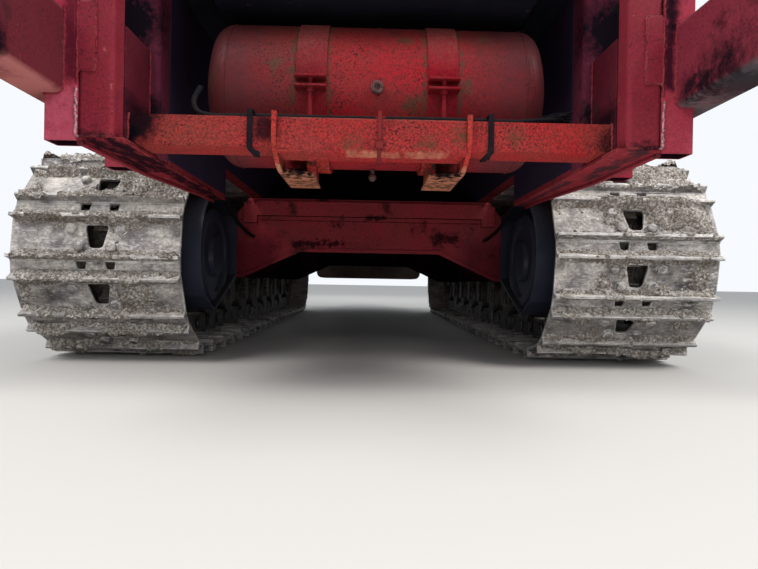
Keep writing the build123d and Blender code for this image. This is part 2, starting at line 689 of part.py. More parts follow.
def tank_straps():
    """Two flat bands round the tank, each drawn tight by a long bolt through two lugs."""
    straps = None
    inner = TANK_R + SEAT_GAP
    outer = inner + STRAP_THICK
    bolt_y = TANK_Y - outer - LUG_REACH / 2
    for side in (-1, 1):
        x = TANK_X + side * STRAP_X
        ring = Cylinder(outer, STRAP_WIDTH) - Cylinder(inner, STRAP_WIDTH)
        strap = Pos(x, TANK_Y, TANK_Z) * Rot(0, 90, 0) * ring
        for drop in LUG_Z:
            lug_x = (x - STRAP_WIDTH / 2, x + STRAP_WIDTH / 2)
            lug_y = (TANK_Y - outer - LUG_REACH, TANK_Y - inner + 4)
            strap += block(lug_x, lug_y, (TANK_Z + drop - LUG, TANK_Z + drop))
        strap -= Pos(x, TANK_Y, TANK_Z) * Rot(0, 90, 0) * Cylinder(inner, 2 * STRAP_WIDTH)
        top = TANK_Z + LUG_Z[0] + 10
        strap += Pos(x, bolt_y, (top + BAR_Z[1]) / 2) * Cylinder(CLAMP_BOLT_R, top - BAR_Z[1])
        for z in (TANK_Z + LUG_Z[0], TANK_Z + LUG_Z[1] - LUG - 11):
            strap += Plane((x, bolt_y, z)) * extrude(RegularPolygon(11, 6), amount=11)
        straps = strap if straps is None else straps + strap
    return straps


def tank_bracket(side):
    """A plate that hooks round the bar, a foot plate, and a tab with a curved saddle under the tank."""
    front = BAR_Y[0] - BRACKET_PROUD
    foot_low, foot_top = FOOT_PLATE_Z
    foot_end = TANK_Y + FOOT_REACH
    hook = side_plate(
        [
            (BAR_Y[0], BAR_Z[1] + BRACKET_HORN),
            (front, BAR_Z[1] + BRACKET_HORN),
            (front, BAR_Z[0]),
            (front + BRACKET_SLOPE, foot_low),
            (foot_end, foot_low),
            (foot_end, foot_top + 14),
            (BAR_Y[1] + 20, BAR_Z[0]),
            (BAR_Y[0], BAR_Z[0]),
        ],
        (BRACKET_X, BRACKET_X + BRACKET_PLATE),
    )
    for y, radius in ((front, BRACKET_ROUND[0]), (front + BRACKET_SLOPE, BRACKET_ROUND[1])):
        corners = [e for e in hook.edges().filter_by(Axis.X) if abs(e.center().Y - y) < 1]
        hook = fillet(sorted(corners, key=lambda e: e.center().Z)[:1], radius)
    foot = block((FOOT_PLATE_X, BRACKET_X), (BAR_Y[1] + 8, foot_end), FOOT_PLATE_Z)
    foot = chamfer(foot.edges().filter_by(Axis.Z).sort_by(Axis.X)[:1], 30, 50)
    tab_y = (TANK_Y - TAB_AT, TANK_Y - TAB_AT + TAB[1])
    tab = block((FOOT_PLATE_X, FOOT_PLATE_X + TAB[0]), tab_y, (foot_top, TANK_Z))
    strap_x = STRAP_X + side * TANK_X
    seat_r = TANK_R + SEAT_GAP + STRAP_THICK + SEAT_GAP
    centre = Pos(strap_x, TANK_Y, TANK_Z) * Rot(0, 90, 0)
    tab -= centre * Cylinder(seat_r, 2 * STRAP_WIDTH + 2 * STRAP_X)
    saddle = centre * (Cylinder(seat_r + SADDLE, STRAP_WIDTH) - Cylinder(seat_r, STRAP_WIDTH))
    reach = TANK_R * sin(pi * SADDLE_HALF_ANGLE / 180)
    sector = block((0, FRAME_IN), (TANK_Y - reach, TANK_Y + reach), (0, TANK_Z - TANK_R * 0.6))
    return hook + foot + tab + (saddle & sector)


def tank_fittings():
    """A round port with a hexagonal recess in front, a stub on top and a drain cock underneath."""
    tilt = degrees(atan2(PORT_DROP, TANK_R))
    at_port = Pos(TANK_X, TANK_Y, TANK_Z) * Rot(90 + tilt, 0, 0)
    port = Cylinder(PORT_R, 14) - Pos(0, 0, 3) * extrude(RegularPolygon(9, 6), amount=8)
    fittings = at_port * Pos(0, 0, TANK_R + 7) * port
    fittings += Pos(TANK_X + 4, TANK_Y, TANK_Z + TANK_R + 8) * Cylinder(14, 16)
    low = TANK_Z - TANK_R
    fittings += Pos(TANK_X - 8, TANK_Y, low - 9) * Cylinder(CLAMP_BOLT_R, 18)
    fittings += Pos(TANK_X - 8, TANK_Y, low - 26) * Sphere(DRAIN_R)
    return fittings - Pos(TANK_X, TANK_Y, TANK_Z) * Rot(0, 90, 0) * Cylinder(TANK_R, 2 * PORT_R + 20)


def tank_bar():
    """The square tube between the gussets that carries the tank, with an angle round it between the brackets."""
    outer = block((-POST_IN, POST_IN), BAR_Y, BAR_Z)
    w = BAR_WALL
    tube = outer - block((-POST_IN, POST_IN), (BAR_Y[0] + w, BAR_Y[1] - w), (BAR_Z[0] + w, BAR_Z[1] - w))
    proud, below = BAR_COVER
    cover = block((-BRACKET_X, BRACKET_X), (BAR_Y[0] - proud, BAR_Y[1]), (BAR_Z[0] - below, BAR_Z[1]))
    front = cover.edges().filter_by(Axis.X).group_by(Axis.Y)[0]
    return fillet(front, proud - 1) - outer + tube


def bar_hose():
    """A loose end of hose that lies along the bar, hooked up at its left end."""
    y = BAR_Y[0] + HOSE_FROM_FRONT
    z = BAR_Z[1] + HOSE_R
    route = [(across, y + behind, z + above) for across, behind, above in HOSE_ROUTE]
    return pipe(route, HOSE_R)


def band(x, width, thick, room):
    """A closed band at x, round a room of (y, z) pairs."""
    (y0, y1), (z0, z1) = room
    outer = block((x - width / 2, x + width / 2), (y0 - thick, y1 + thick), (z0 - thick, z1 + thick))
    return outer - block((x - width, x + width), *room)


def bar_bands():
    """Two rubber bands round the bar and the hose, and a narrow tie with its buckle."""
    y = (BAR_Y[0] - SEAT_GAP, BAR_Y[1] + SEAT_GAP)
    z = (BAR_Z[0] - SEAT_GAP, BAR_Z[1] + 2 * HOSE_R + SEAT_GAP)
    bands = band(BAND_X[0], BAND_WIDTH, BAND, (y, z)) + band(BAND_X[1], BAND_WIDTH, BAND, (y, z))
    proud, below = BAR_COVER
    tie = band(TIE_X, TIE_WIDTH, TIE, ((y[0] - proud, y[1]), (z[0] - below, z[1])))
    wide, deep, high = BUCKLE
    front = y[0] - proud - TIE
    buckle = block((TIE_X - wide / 2, TIE_X + wide / 2), (front - deep, front), (BAR_Z[0], BAR_Z[0] + high))
    return bands + tie + buckle


def drive_hose():
    """A hose along the inner side of the guard, from the main beam's end plate to the cross beam."""
    x = FRAME_OUT - DRIVE_HOSE_INSET
    high, middle, low = DRIVE_HOSE_Z
    route = [
        (x, RAIL_END_Y, high),
        (x, RAIL_END_Y + 70, high),
        (x, GUARD_FAR_Y - 40, middle),
        (x, BEAM_Y[0] - BEAM_DEPTH / 2 - 60, low),
        (x, BEAM_Y[0] - BEAM_DEPTH / 2, low),
    ]
    return pipe(route, DRIVE_HOSE_R)


def trough():
    """A plate trough between the main beams, hung from them by its flanges."""
    t = TROUGH_PLATE
    side = FRAME_IN - TROUGH_INSET
    floor = side - TROUGH_SLOPE[0]
    half = [
        (0, TROUGH_FLOOR_Z),
        (floor, TROUGH_FLOOR_Z),
        (side, TROUGH_FLOOR_Z + TROUGH_SLOPE[1]),
        (side, TROUGH_TOP_Z - t),
        (FRAME_IN, TROUGH_TOP_Z - t),
        (FRAME_IN, TROUGH_TOP_Z),
        (side - t, TROUGH_TOP_Z),
        (side - t, TROUGH_FLOOR_Z + TROUGH_SLOPE[1] + 3),
        (floor - t / 2, TROUGH_FLOOR_Z + t),
        (0, TROUGH_FLOOR_Z + t),
    ]
    right = cross_plate(half, TROUGH_Y)
    return right + mirror(right, about=Plane.YZ)


def far_box():
    """A low box hung under the main beams at the far end, with rounded bottom corners."""
    shape = block((-FRAME_IN - 20, FRAME_IN + 20), FAR_BOX_Y, (FAR_BOX_Z, BEAM_TOP))
    corners = shape.edges().filter_by(Axis.Y).sort_by(Axis.Z)[:2]
    return fillet(corners, FAR_BOX_CORNER)


parts = {}
for side, run_on in LOOP_TURN.items():
    for name, shape in (("track_", track(run_on)), ("sprocket_", sprocket(run_on))):
        parts[name + side] = shape if side == "right" else mirror(shape, about=Plane.YZ)
both_sides("final_drive", final_drive())
both_sides("drive_guard", drive_guard())
both_sides("drive_motor", drive_motor())
both_sides("idler", idler())
both_sides("idler_yoke", idler_yoke())
both_sides("bottom_rollers", bottom_rollers())
both_sides("carrier_rollers", carrier_rollers())
both_sides("track_frame", track_frame())
parts["cross_beam_near"] = cross_beam(BEAM_Y[0])
parts["cross_beam_far"] = cross_beam(BEAM_Y[1])
both_sides("main_beam", main_beam())
both_sides("near_post", near_post())
both_sides("second_post", post((FRAME_IN, END_OUT), SECOND_POST_Y))
both_sides("gusset", gusset())
both_sides("leg_sockets", leg_sockets())
both_sides("coupling_arm", coupling_arm())
parts["tank_bar"] = tank_bar()
parts["air_tank"] = air_tank()
parts["tank_straps"] = tank_straps()
parts["tank_bracket_right"] = tank_bracket(1)
parts["tank_bracket_left"] = mirror(tank_bracket(-1), about=Plane.YZ)
parts["tank_fittings"] = tank_fittings()
parts["bar_hose"] = bar_hose()
parts["bar_bands"] = bar_bands()
both_sides("drive_hose", drive_hose())
parts["trough"] = trough()
parts["far_box"] = far_box()
parts["far_cross_member"] = block((-FRAME_IN, FRAME_IN), (FAR_Y - FAR_MEMBER, FAR_Y), (BEAM_TOP, TROUGH_FLOOR_Z))

os.makedirs("parts", exist_ok=True)
for name, shape in parts.items():
    export_step(shape, os.path.join("parts", name + ".step"))
print(len(parts), "nodes")
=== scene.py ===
# %% [markdown]
# # A tracked chassis, seen from the ground
#
# The part is the undercarriage and main frame of a mobile wood grinder. It stands on two crawler tracks,
# with arched beams between them, and an air tank hangs across its near end. The camera lies on the ground
# in front of that end and looks up under it. The CAD model gives the place and size of every piece, and
# each lesson below gives one group of pieces its looks: first the finishes, then the tracks, then the
# fittings.

from math import cos, pi, radians, sin, tau
import random

import bpy
from mathutils import Matrix, Vector, noise


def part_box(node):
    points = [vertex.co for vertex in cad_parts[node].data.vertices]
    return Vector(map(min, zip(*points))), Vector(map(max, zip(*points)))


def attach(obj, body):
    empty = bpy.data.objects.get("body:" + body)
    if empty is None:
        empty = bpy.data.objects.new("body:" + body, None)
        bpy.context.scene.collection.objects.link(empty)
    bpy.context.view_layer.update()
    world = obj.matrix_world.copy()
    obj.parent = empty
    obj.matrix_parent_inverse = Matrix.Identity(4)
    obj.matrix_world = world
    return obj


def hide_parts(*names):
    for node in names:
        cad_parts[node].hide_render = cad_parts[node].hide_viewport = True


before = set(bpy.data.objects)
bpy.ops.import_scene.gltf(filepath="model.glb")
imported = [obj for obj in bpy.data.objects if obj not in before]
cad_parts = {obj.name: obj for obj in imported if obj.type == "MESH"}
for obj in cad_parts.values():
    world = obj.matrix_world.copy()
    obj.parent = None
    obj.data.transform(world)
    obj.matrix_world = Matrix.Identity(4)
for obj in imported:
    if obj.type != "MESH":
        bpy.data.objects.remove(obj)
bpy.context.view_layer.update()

# %% [markdown]
# ## Camera
#
# The lens is 0.32 m above the ground, two metres in front of the tracks. A camera could be moved by hand
# until the picture fits. Here its place and turn are numbers, worked out beforehand from widths that are
# known, so that the view stays the same. The lens is wide, so the tracks lean away on both sides, as they
# do for someone who crouches there.

# %% Camera
CAMERA_PLACE = (-0.004, -4.245, 0.321)
CAMERA_YAW = radians(1.14)
CAMERA_PITCH = radians(-0.19)
CAMERA_ROLL = radians(1.0)
SENSOR = 36.0
FOCAL_PIXELS = 560.0
PHOTO_WIDTH = 758.0
NEAREST, FARTHEST = 0.05, 200

bpy.ops.object.camera_add(location=CAMERA_PLACE)
camera = bpy.context.object
camera.name = "camera"
aim = Matrix.Rotation(-CAMERA_YAW, 4, "Z") @ Matrix.Rotation(pi / 2 + CAMERA_PITCH, 4, "X")
aim = aim @ Matrix.Rotation(CAMERA_ROLL, 4, "Z")
camera.rotation_euler = aim.to_euler()
camera.data.sensor_width = SENSOR
camera.data.lens = SENSOR * FOCAL_PIXELS / PHOTO_WIDTH
camera.data.clip_start = NEAREST
camera.data.clip_end = FARTHEST
bpy.context.scene.camera = camera
print("lens:", round(camera.data.lens, 2), "mm")

# %% [markdown]
# ## Small helpers
#
# An operator works on everything that is selected, so each step starts by deselecting. A finished piece
# has its place in its mesh and its object at the world's origin, so that patterns on Object coordinates
# stay put.


# %% Helpers for modelling
def deselect():
    """Leaves object mode with nothing selected."""
    if bpy.context.object and bpy.context.object.mode != "OBJECT":
        bpy.ops.object.mode_set(mode="OBJECT")
    bpy.ops.object.select_all(action="DESELECT")


def only(piece):
    """Selects one piece and makes it the active one."""
    deselect()
    piece.select_set(True)
    bpy.context.view_layer.objects.active = piece


def edit_faces(piece, wanted):
    """Goes into edit mode with only the wanted faces selected. wanted is asked about each face."""
    only(piece)
    bpy.ops.object.mode_set(mode="EDIT")
    bpy.ops.mesh.select_mode(type="FACE")
    bpy.ops.mesh.select_all(action="DESELECT")
    bpy.ops.object.mode_set(mode="OBJECT")
    for face in piece.data.polygons:
        face.select = bool(wanted(face))
    bpy.ops.object.mode_set(mode="EDIT")


def cut(piece, point, normal):
    """Cuts a line of new edges all round a piece where a plane meets it."""
    only(piece)
    bpy.ops.object.mode_set(mode="EDIT")
    bpy.ops.mesh.select_all(action="SELECT")
    bpy.ops.mesh.bisect(plane_co=point, plane_no=normal)
    bpy.ops.object.mode_set(mode="OBJECT")


def apply_modifier(piece, kind, **settings):
    """Adds a modifier and applies it at once."""
    only(piece)
    modifier = piece.modifiers.new(kind.lower(), kind)
    for key, value in settings.items():
        setattr(modifier, key, value)
    bpy.ops.object.modifier_apply(modifier=modifier.name)


def settle(piece):
    """Puts a piece's place into its mesh, with the object at the origin."""
    only(piece)
    bpy.ops.object.transform_apply(location=True, rotation=True, scale=True)


def twin_of(piece):
    """A copy of a piece, with a mesh of its own."""
    twin = piece.copy()
    twin.data = piece.data.copy()
    bpy.context.collection.objects.link(twin)
    return twin


def mirror(piece):
    """Mirrors a piece across the machine's middle, and turns its faces outwards again."""
    only(piece)
    bpy.ops.transform.mirror(constraint_axis=(True, False, False), center_override=(0, 0, 0))
    settle(piece)
    bpy.ops.object.mode_set(mode="EDIT")
    bpy.ops.mesh.select_all(action="SELECT")
    bpy.ops.mesh.normals_make_consistent()
    deselect()


def join(pieces):
    """Joins a list of pieces to one, which starts from the first of them."""
    deselect()
    for piece in pieces:
        piece.select_set(True)
    bpy.context.view_layer.objects.active = pieces[0]
    bpy.ops.object.join()
    return bpy.context.object


def finish_piece(piece, name, material, smooth=30):
    """Names a piece, gives it its finish and lets it ride on the frame."""
    piece.name = name
    only(piece)
    bpy.ops.object.shade_smooth_by_angle(angle=radians(smooth))
    piece.data.materials.clear()
    piece.data.materials.append(material)
    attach(piece, "root")
    print(name, len(piece.data.polygons), "faces")
    return piece


# %% [markdown]
# ## Floor and light
#
# A studio could have a curved backdrop. A wide floor and a pale sky are enough here, because the machine
# fills the picture. The floor matters for more than its shadow: most of the light on the underside comes
# up from it. Two big lamps stand high on both sides, a weak one shines in from the front, one lies on the
# ground to lift the dark underside, and one lights the back. The camera sees a white sky, which adds no
# light of its own.

# %% Floor and backdrop
FLOOR_HALF = 60.0
FLOOR_COLOUR = (0.42, 0.4, 0.37, 1)

deselect()
bpy.ops.mesh.primitive_plane_add(size=2 * FLOOR_HALF)
floor = bpy.context.object
floor.name = "floor"

# %% Light
SKY_COLOUR = (0.86, 0.92, 1.0, 1)
SKY_STRENGTH = 0.95
BACKDROP_COLOUR = (0.93, 0.96, 1.0, 1)
LAMPS = (
    # name, place, aimed at, size, watts
    ("key", (-4.2, -5.6, 6.2), (-0.6, -2, 0.6), 3.4, 500),
    ("fill", (4.8, -5.2, 6.0), (0.6, -2, 0.6), 3.4, 620),
    ("front", (0.0, -8.0, 1.4), (0, -2.6, 0.8), 3.0, 60),
    ("ground", (0.0, -3.3, 0.006), (0, -3.3, 1.0), 1.3, 13),
    ("back", (0.0, 8.0, 5.0), (0, 0, 0.8), 5.0, 90),
)

world = bpy.data.worlds.new("studio")
bpy.context.scene.world = world
world.use_nodes = True
world_nodes = world.node_tree.nodes
background = world_nodes["Background"]
background.inputs["Color"].default_value = SKY_COLOUR
background.inputs["Strength"].default_value = SKY_STRENGTH
white = world_nodes.new("ShaderNodeBackground")
white.inputs["Color"].default_value = BACKDROP_COLOUR
white.inputs["Strength"].default_value = 1.0
rays = world_nodes.new("ShaderNodeLightPath")
choose = world_nodes.new("ShaderNodeMixShader")
world_links = world.node_tree.links
world_links.new(rays.outputs["Is Camera Ray"], choose.inputs[0])
world_links.new(background.outputs[0], choose.inputs[1])
world_links.new(white.outputs[0], choose.inputs[2])
world_links.new(choose.outputs[0], world_nodes["World Output"].inputs["Surface"])

for name, place, target, size, watts in LAMPS:
    bpy.ops.object.light_add(type="AREA", location=place)
    lamp = bpy.context.object
    lamp.name = "lamp_" + name
    lamp.data.shape = "SQUARE"
    lamp.data.size = size
    lamp.data.energy = watts
    lamp.rotation_euler = (Vector(target) - Vector(place)).to_track_quat("-Z", "Y").to_euler()
    lamp.visible_camera = False

bpy.context.scene.view_settings.view_transform = "Standard"
print("lamps:", len(LAMPS))

# %% [markdown]
# ## Finishes
#
# The machine has worked in mud. Its paint is crimson where it is clean and orange-brown where dust has
# settled, with dark specks of old grease, chips down to rust, and bare steel where tracks and stones rub.
# Each of these effects is one node group, made once, and every material places it with its own values.


# %% Helpers for materials
def node(tree, kind, inputs=None, **settings):
    """A node with its settings and inputs. An input is a value or another node's output."""
    made = tree.nodes.new("ShaderNode" + kind)
    for key, value in settings.items():
        setattr(made, key, value)
    for key, value in (inputs or {}).items():
        if isinstance(value, bpy.types.NodeSocket):
            tree.links.new(value, made.inputs[key])
        else:
            made.inputs[key].default_value = value
    return made


def new_material(name):
    """A material, with its node tree and its shader."""
    material = bpy.data.materials.new(name)
    material.use_nodes = True
    tree = material.node_tree
    return material, tree, tree.nodes["Principled BSDF"]


def new_group(name, takes, gives):
    """An empty node group. takes holds name: default, and gives holds name: kind."""
    tree = bpy.data.node_groups.new(name, "ShaderNodeTree")
    for key, value in takes.items():
        kind = "NodeSocketColor" if isinstance(value, tuple) else "NodeSocketFloat"
        tree.interface.new_socket(key, in_out="INPUT", socket_type=kind).default_value = value
    for key, kind in gives.items():
        tree.interface.new_socket(key, in_out="OUTPUT", socket_type="NodeSocket" + kind)
    return tree, tree.nodes.new("NodeGroupInput").outputs, tree.nodes.new("NodeGroupOutput").inputs


def use(tree, group, inputs=None):
    """Places a node group in a tree, with its inputs."""
    placed = tree.nodes.new("ShaderNodeGroup")
    placed.node_tree = group
    for key, value in (inputs or {}).items():
        if isinstance(value, bpy.types.NodeSocket):
            tree.links.new(value, placed.inputs[key])
        else:
            placed.inputs[key].default_value = value
    return placed.outputs


def math(tree, operation, a, b=0.0, clamp=False):
    """One sum on two values."""
    return node(tree, "Math", {0: a, 1: b}, operation=operation, use_clamp=clamp).outputs[0]


def times(tree, a, b, clamp=False):
    """One value times another."""
    return math(tree, "MULTIPLY", a, b, clamp)


def ramp(tree, value, low, high, to_low=0.0, to_high=1.0):
    """Stretches value from low..high to to_low..to_high, clamped."""
    inputs = {"Value": value, "From Min": low, "From Max": high, "To Min": to_low, "To Max": to_high}
    return node(tree, "MapRange", inputs).outputs[0]


def blend(tree, share, a, b, mode="MIX"):
    """Mixes colour b over colour a."""
    mixed = node(tree, "Mix", {0: share, 6: a, 7: b}, data_type="RGBA", blend_type=mode)
    return mixed.outputs[2]


# %% [markdown]
# ## Blotches
#
# Dirt, dust and chips all come in blotches. They could be painted by hand on an image, but noise needs no
# image and has detail at every distance. Noise cut between a low and a high value gives islands with
# ragged edges: the nearer the two values, the harder the edge. Across and Stretch squeeze the pattern
# along X and Z.

# %% Patches: blotches of noise, the base of dirt, dust and chips
patches, taken, given = new_group(
    "patches",
    {"Scale": 5.0, "Detail": 5.0, "Low": 0.45, "High": 0.6, "Stretch": 1.0, "Across": 1.0},
    {"Mask": "Float", "Raw": "Float"},
)
place = node(patches, "TexCoord").outputs["Object"]
stretch = node(patches, "CombineXYZ", {0: taken["Across"], 1: 1.0, 2: taken["Stretch"]}).outputs[0]
place = node(patches, "Mapping", {"Vector": place, "Scale": stretch}).outputs[0]
cloud = node(patches, "TexNoise", {"Vector": place, "Scale": taken["Scale"], "Detail": taken["Detail"]})
cloud.inputs["Roughness"].default_value = 0.62
patches.links.new(ramp(patches, cloud.outputs["Fac"], taken["Low"], taken["High"]), given["Mask"])
patches.links.new(cloud.outputs["Fac"], given["Raw"])


def blotches(tree, scale, low, high, detail=5.0, across=1.0):
    """The mask of blotches of one size, from 0 between them to 1 on them."""
    inputs = {"Scale": scale, "Low": low, "High": high, "Detail": detail, "Across": across}
    return use(tree, patches, inputs)["Mask"]


# %% [markdown]
# ## Worn edges
#
# Paint goes first where an edge is knocked. Edges could be found from the mesh's own corners, but that
# takes a fine mesh, and these plates have few points. The Bevel node gives the normal that a rounded edge
# would have, and where it differs from the flat one there is an edge. Noise breaks it up, because no edge
# wears evenly. The rounded normal goes out too, since it lets the edge catch the light.

# %% Worn edges: where a rounded normal differs from the flat one, broken up by noise
worn_edges, taken, given = new_group(
    "worn_edges", {"Radius": 0.006, "Breakup": 30.0}, {"Mask": "Float", "Normal": "Vector"}
)
rounded = node(worn_edges, "Bevel", {"Radius": taken["Radius"]}, samples=4).outputs[0]
flat = node(worn_edges, "NewGeometry").outputs["Normal"]
same = node(worn_edges, "VectorMath", {0: rounded, 1: flat}, operation="DOT_PRODUCT").outputs["Value"]
edge = ramp(worn_edges, same, 0.985, 0.86)
broken = blotches(worn_edges, taken["Breakup"], 0.42, 0.58)
worn_edges.links.new(times(worn_edges, edge, broken), given["Mask"])
worn_edges.links.new(rounded, given["Normal"])

# %% [markdown]
# ## Dust
#
# Dust settles on what faces up and clings in blotches elsewhere. It could be a second shader over the
# paint, but mixed into the colour it costs less and exports as well. The first group below says which way
# a face looks, from its normal, and the second uses that to place the dust.

# %% Facing: how far a surface looks up, down or sideways
facing_group, taken, given = new_group("facing", {}, {"Up": "Float", "Down": "Float", "Side": "Float"})
split = node(facing_group, "NewGeometry").outputs["Normal"]
split = node(facing_group, "SeparateXYZ", {0: split}).outputs
facing_group.links.new(ramp(facing_group, split["Z"], 0.1, 0.9), given["Up"])
facing_group.links.new(ramp(facing_group, split["Z"], -0.2, -0.8), given["Down"])
sideways = math(facing_group, "ABSOLUTE", split["X"])
facing_group.links.new(ramp(facing_group, sideways, 0.5, 0.9), given["Side"])

# %% Settled dust: most on what faces up, blotchy everywhere
settled_dust, taken, given = new_group(
    "settled_dust", {"Everywhere": 0.25, "Upwards": 0.8, "Scale": 6.0}, {"Mask": "Float"}
)
upward = times(settled_dust, use(settled_dust, facing_group)["Up"], taken["Upwards"])
blotch = blotches(settled_dust, taken["Scale"], 0.4, 0.66, 8.0)
fine = blotches(settled_dust, 110.0, 0.38, 0.62, 3.0)
total = math(settled_dust, "ADD", upward, times(settled_dust, blotch, taken["Everywhere"]))
total = times(settled_dust, total, ramp(settled_dust, fine, 0.0, 1.0, 0.4, 1.0), clamp=True)
settled_dust.links.new(total, given["Mask"])

# %% [markdown]
# ## Old paint
#
# The paint is crimson and faded in places, with a fine dark mottling, dust, clustered specks of grease,
# larger smears, and chips down to rust. One big noise could not show all that. Each effect is a mask of
# blotches at its own scale, laid over the one before in the order in which they came onto the machine.

# %% Old paint: colour that fades, fine mottling, dust, grease specks and patches, chips down to rust
old_paint, taken, given = new_group(
    "old_paint",
    {
        "Paint": (0.15, 0.012, 0.017, 1),
        "Faded": (0.2, 0.03, 0.03, 1),
        "Grease": (0.012, 0.009, 0.01, 1),
        "Rust": (0.1, 0.045, 0.025, 1),
        "Dust": (0.13, 0.055, 0.045, 1),
        "Mottle": 0.3,
        "Specks": 0.5,
        "Grime": 0.3,
        "Chips": 0.3,
        "Dustiness": 0.3,
        "Rim": 0.0,
    },
    {"Colour": "Color", "Roughness": "Float", "Height": "Float"},
)
fade = blotches(old_paint, 3.1, 0.36, 0.66, 7.0)
colour = blend(old_paint, fade, taken["Paint"], taken["Faded"])
mottle = blotches(old_paint, 170.0, 0.4, 0.6, 8.0)
dark = blend(old_paint, 0.72, colour, taken["Grease"])
colour = blend(old_paint, times(old_paint, mottle, taken["Mottle"]), colour, dark)
dust = {"Everywhere": taken["Dustiness"], "Upwards": 0.75, "Scale": 5.5}
dust = use(old_paint, settled_dust, dust)["Mask"]
colour = blend(old_paint, dust, colour, taken["Dust"])
speck = blotches(old_paint, 190.0, 0.55, 0.63, 5.0)
spread = blotches(old_paint, 7.0, 0.36, 0.6, 6.0)
speck = times(old_paint, times(old_paint, speck, spread), taken["Specks"])
grime = blotches(old_paint, 9.0, 0.56, 0.67, 9.0)
grime = times(old_paint, grime, taken["Grime"])
colour = blend(old_paint, math(old_paint, "MAXIMUM", speck, grime, clamp=True), colour, taken["Grease"])
chip = blotches(old_paint, 24.0, 0.66, 0.675, 8.0)
chip = math(old_paint, "ADD", chip, taken["Rim"], clamp=True)
chip = times(old_paint, chip, taken["Chips"], clamp=True)
colour = blend(old_paint, chip, colour, taken["Rust"])
rough = math(old_paint, "ADD", dust, math(old_paint, "MAXIMUM", chip, speck))
rough = ramp(old_paint, rough, 0.0, 1.0, 0.42, 0.92)
height = times(old_paint, speck, 0.7)
height = math(old_paint, "ADD", times(old_paint, dust, 0.5), height)
height = math(old_paint, "SUBTRACT", height, times(old_paint, chip, 0.8))
old_paint.links.new(colour, given["Colour"])
old_paint.links.new(rough, given["Roughness"])
old_paint.links.new(height, given["Height"])
print("groups:", [group.name for group in bpy.data.node_groups])

# %% [markdown]
# ## Paint with dirt in its place
#
# Some dirt belongs to one place: soot at the ends of the bar, grease on an arm, rubbed paint beside a
# post. It could be drawn on a texture, but then each piece would need a map. Here a stain is a ball or a
# box in the part's own metres, with an edge broken up by noise, so it lies where it should on the
# finished machine.


# %% A painted material
PAINT_BUMP = 0.0012
PAINT_COAT_ROUGHNESS = 0.3


def near(tree, point, reach, solid, breakup):
    """1 near a point of the part, 0 beyond reach, with an edge broken up by noise."""
    place = node(tree, "TexCoord").outputs["Object"]
    away = node(tree, "VectorMath", {0: place, 1: point}, operation="DISTANCE").outputs["Value"]
    ragged = use(tree, patches, {"Scale": 55.0, "Detail": 7.0})["Raw"]
    away = math(tree, "ADD", away, times(tree, math(tree, "SUBTRACT", ragged, 0.5), breakup))
    return ramp(tree, away, reach, solid)


def within(tree, low, high, soft, breakup):
    """1 inside a box of the part, with a soft edge broken up by noise."""
    low, high = Vector(low), Vector(high)
    place = node(tree, "TexCoord").outputs["Object"]
    away = node(tree, "VectorMath", {0: place, 1: (low + high) / 2}, operation="SUBTRACT").outputs[0]
    away = node(tree, "VectorMath", {0: away}, operation="ABSOLUTE").outputs[0]
    away = node(tree, "VectorMath", {0: away, 1: (high - low) / 2}, operation="SUBTRACT").outputs[0]
    away = node(tree, "SeparateXYZ", {0: away}).outputs
    away = math(tree, "MAXIMUM", math(tree, "MAXIMUM", away[0], away[1]), away[2])
    ragged = use(tree, patches, {"Scale": 13.0, "Detail": 9.0, "Across": 3.5, "Stretch": 3.5})["Raw"]
    away = math(tree, "ADD", away, times(tree, math(tree, "SUBTRACT", ragged, 0.5), breakup))
    return ramp(tree, away, soft, -soft)


def painted(name, values, coat=0.0, gloss=0.0, facing=None, spots=(), panels=()):
    """Old paint over steel, with its own values for the old_paint group.

    facing tints what looks one way: direction: (colour, least share, greatest share).
    A spot is (middle, reach, solid within, breakup, colour, share).
    A panel is (low corner, high corner, softness, breakup, colour, share).
    """
    material, tree, shader = new_material(name)
    edge = use(tree, worn_edges, {"Radius": 0.005, "Breakup": 26.0})
    layer = use(tree, old_paint, {**values, "Rim": edge["Mask"]})
    colour = layer["Colour"]
    cloud = blotches(tree, 14.0, 0.3, 0.55, 7.0)
    for direction, (tint, least, most) in (facing or {}).items():
        mask = ramp(tree, cloud, 0, 1, least, most)
        mask = times(tree, use(tree, facing_group)[direction], mask)
        colour = blend(tree, mask, colour, tint)
    for low, high, soft, breakup, tint, share in panels:
        mask = times(tree, within(tree, low, high, soft, breakup), share)
        colour = blend(tree, mask, colour, tint)
    for point, reach, solid, breakup, tint, share in spots:
        mask = times(tree, near(tree, point, reach, solid, breakup), share)
        colour = blend(tree, mask, colour, tint)
    bump = {"Height": layer["Height"], "Distance": PAINT_BUMP, "Normal": edge["Normal"]}
    bump = node(tree, "Bump", bump)
    tree.links.new(colour, shader.inputs["Base Color"])
    tree.links.new(layer["Roughness"], shader.inputs["Roughness"])
    tree.links.new(bump.outputs[0], shader.inputs["Normal"])
    shader.inputs["Specular IOR Level"].default_value = gloss
    shader.inputs["Coat Weight"].default_value = coat
    shader.inputs["Coat Roughness"].default_value = PAINT_COAT_ROUGHNESS
    return material


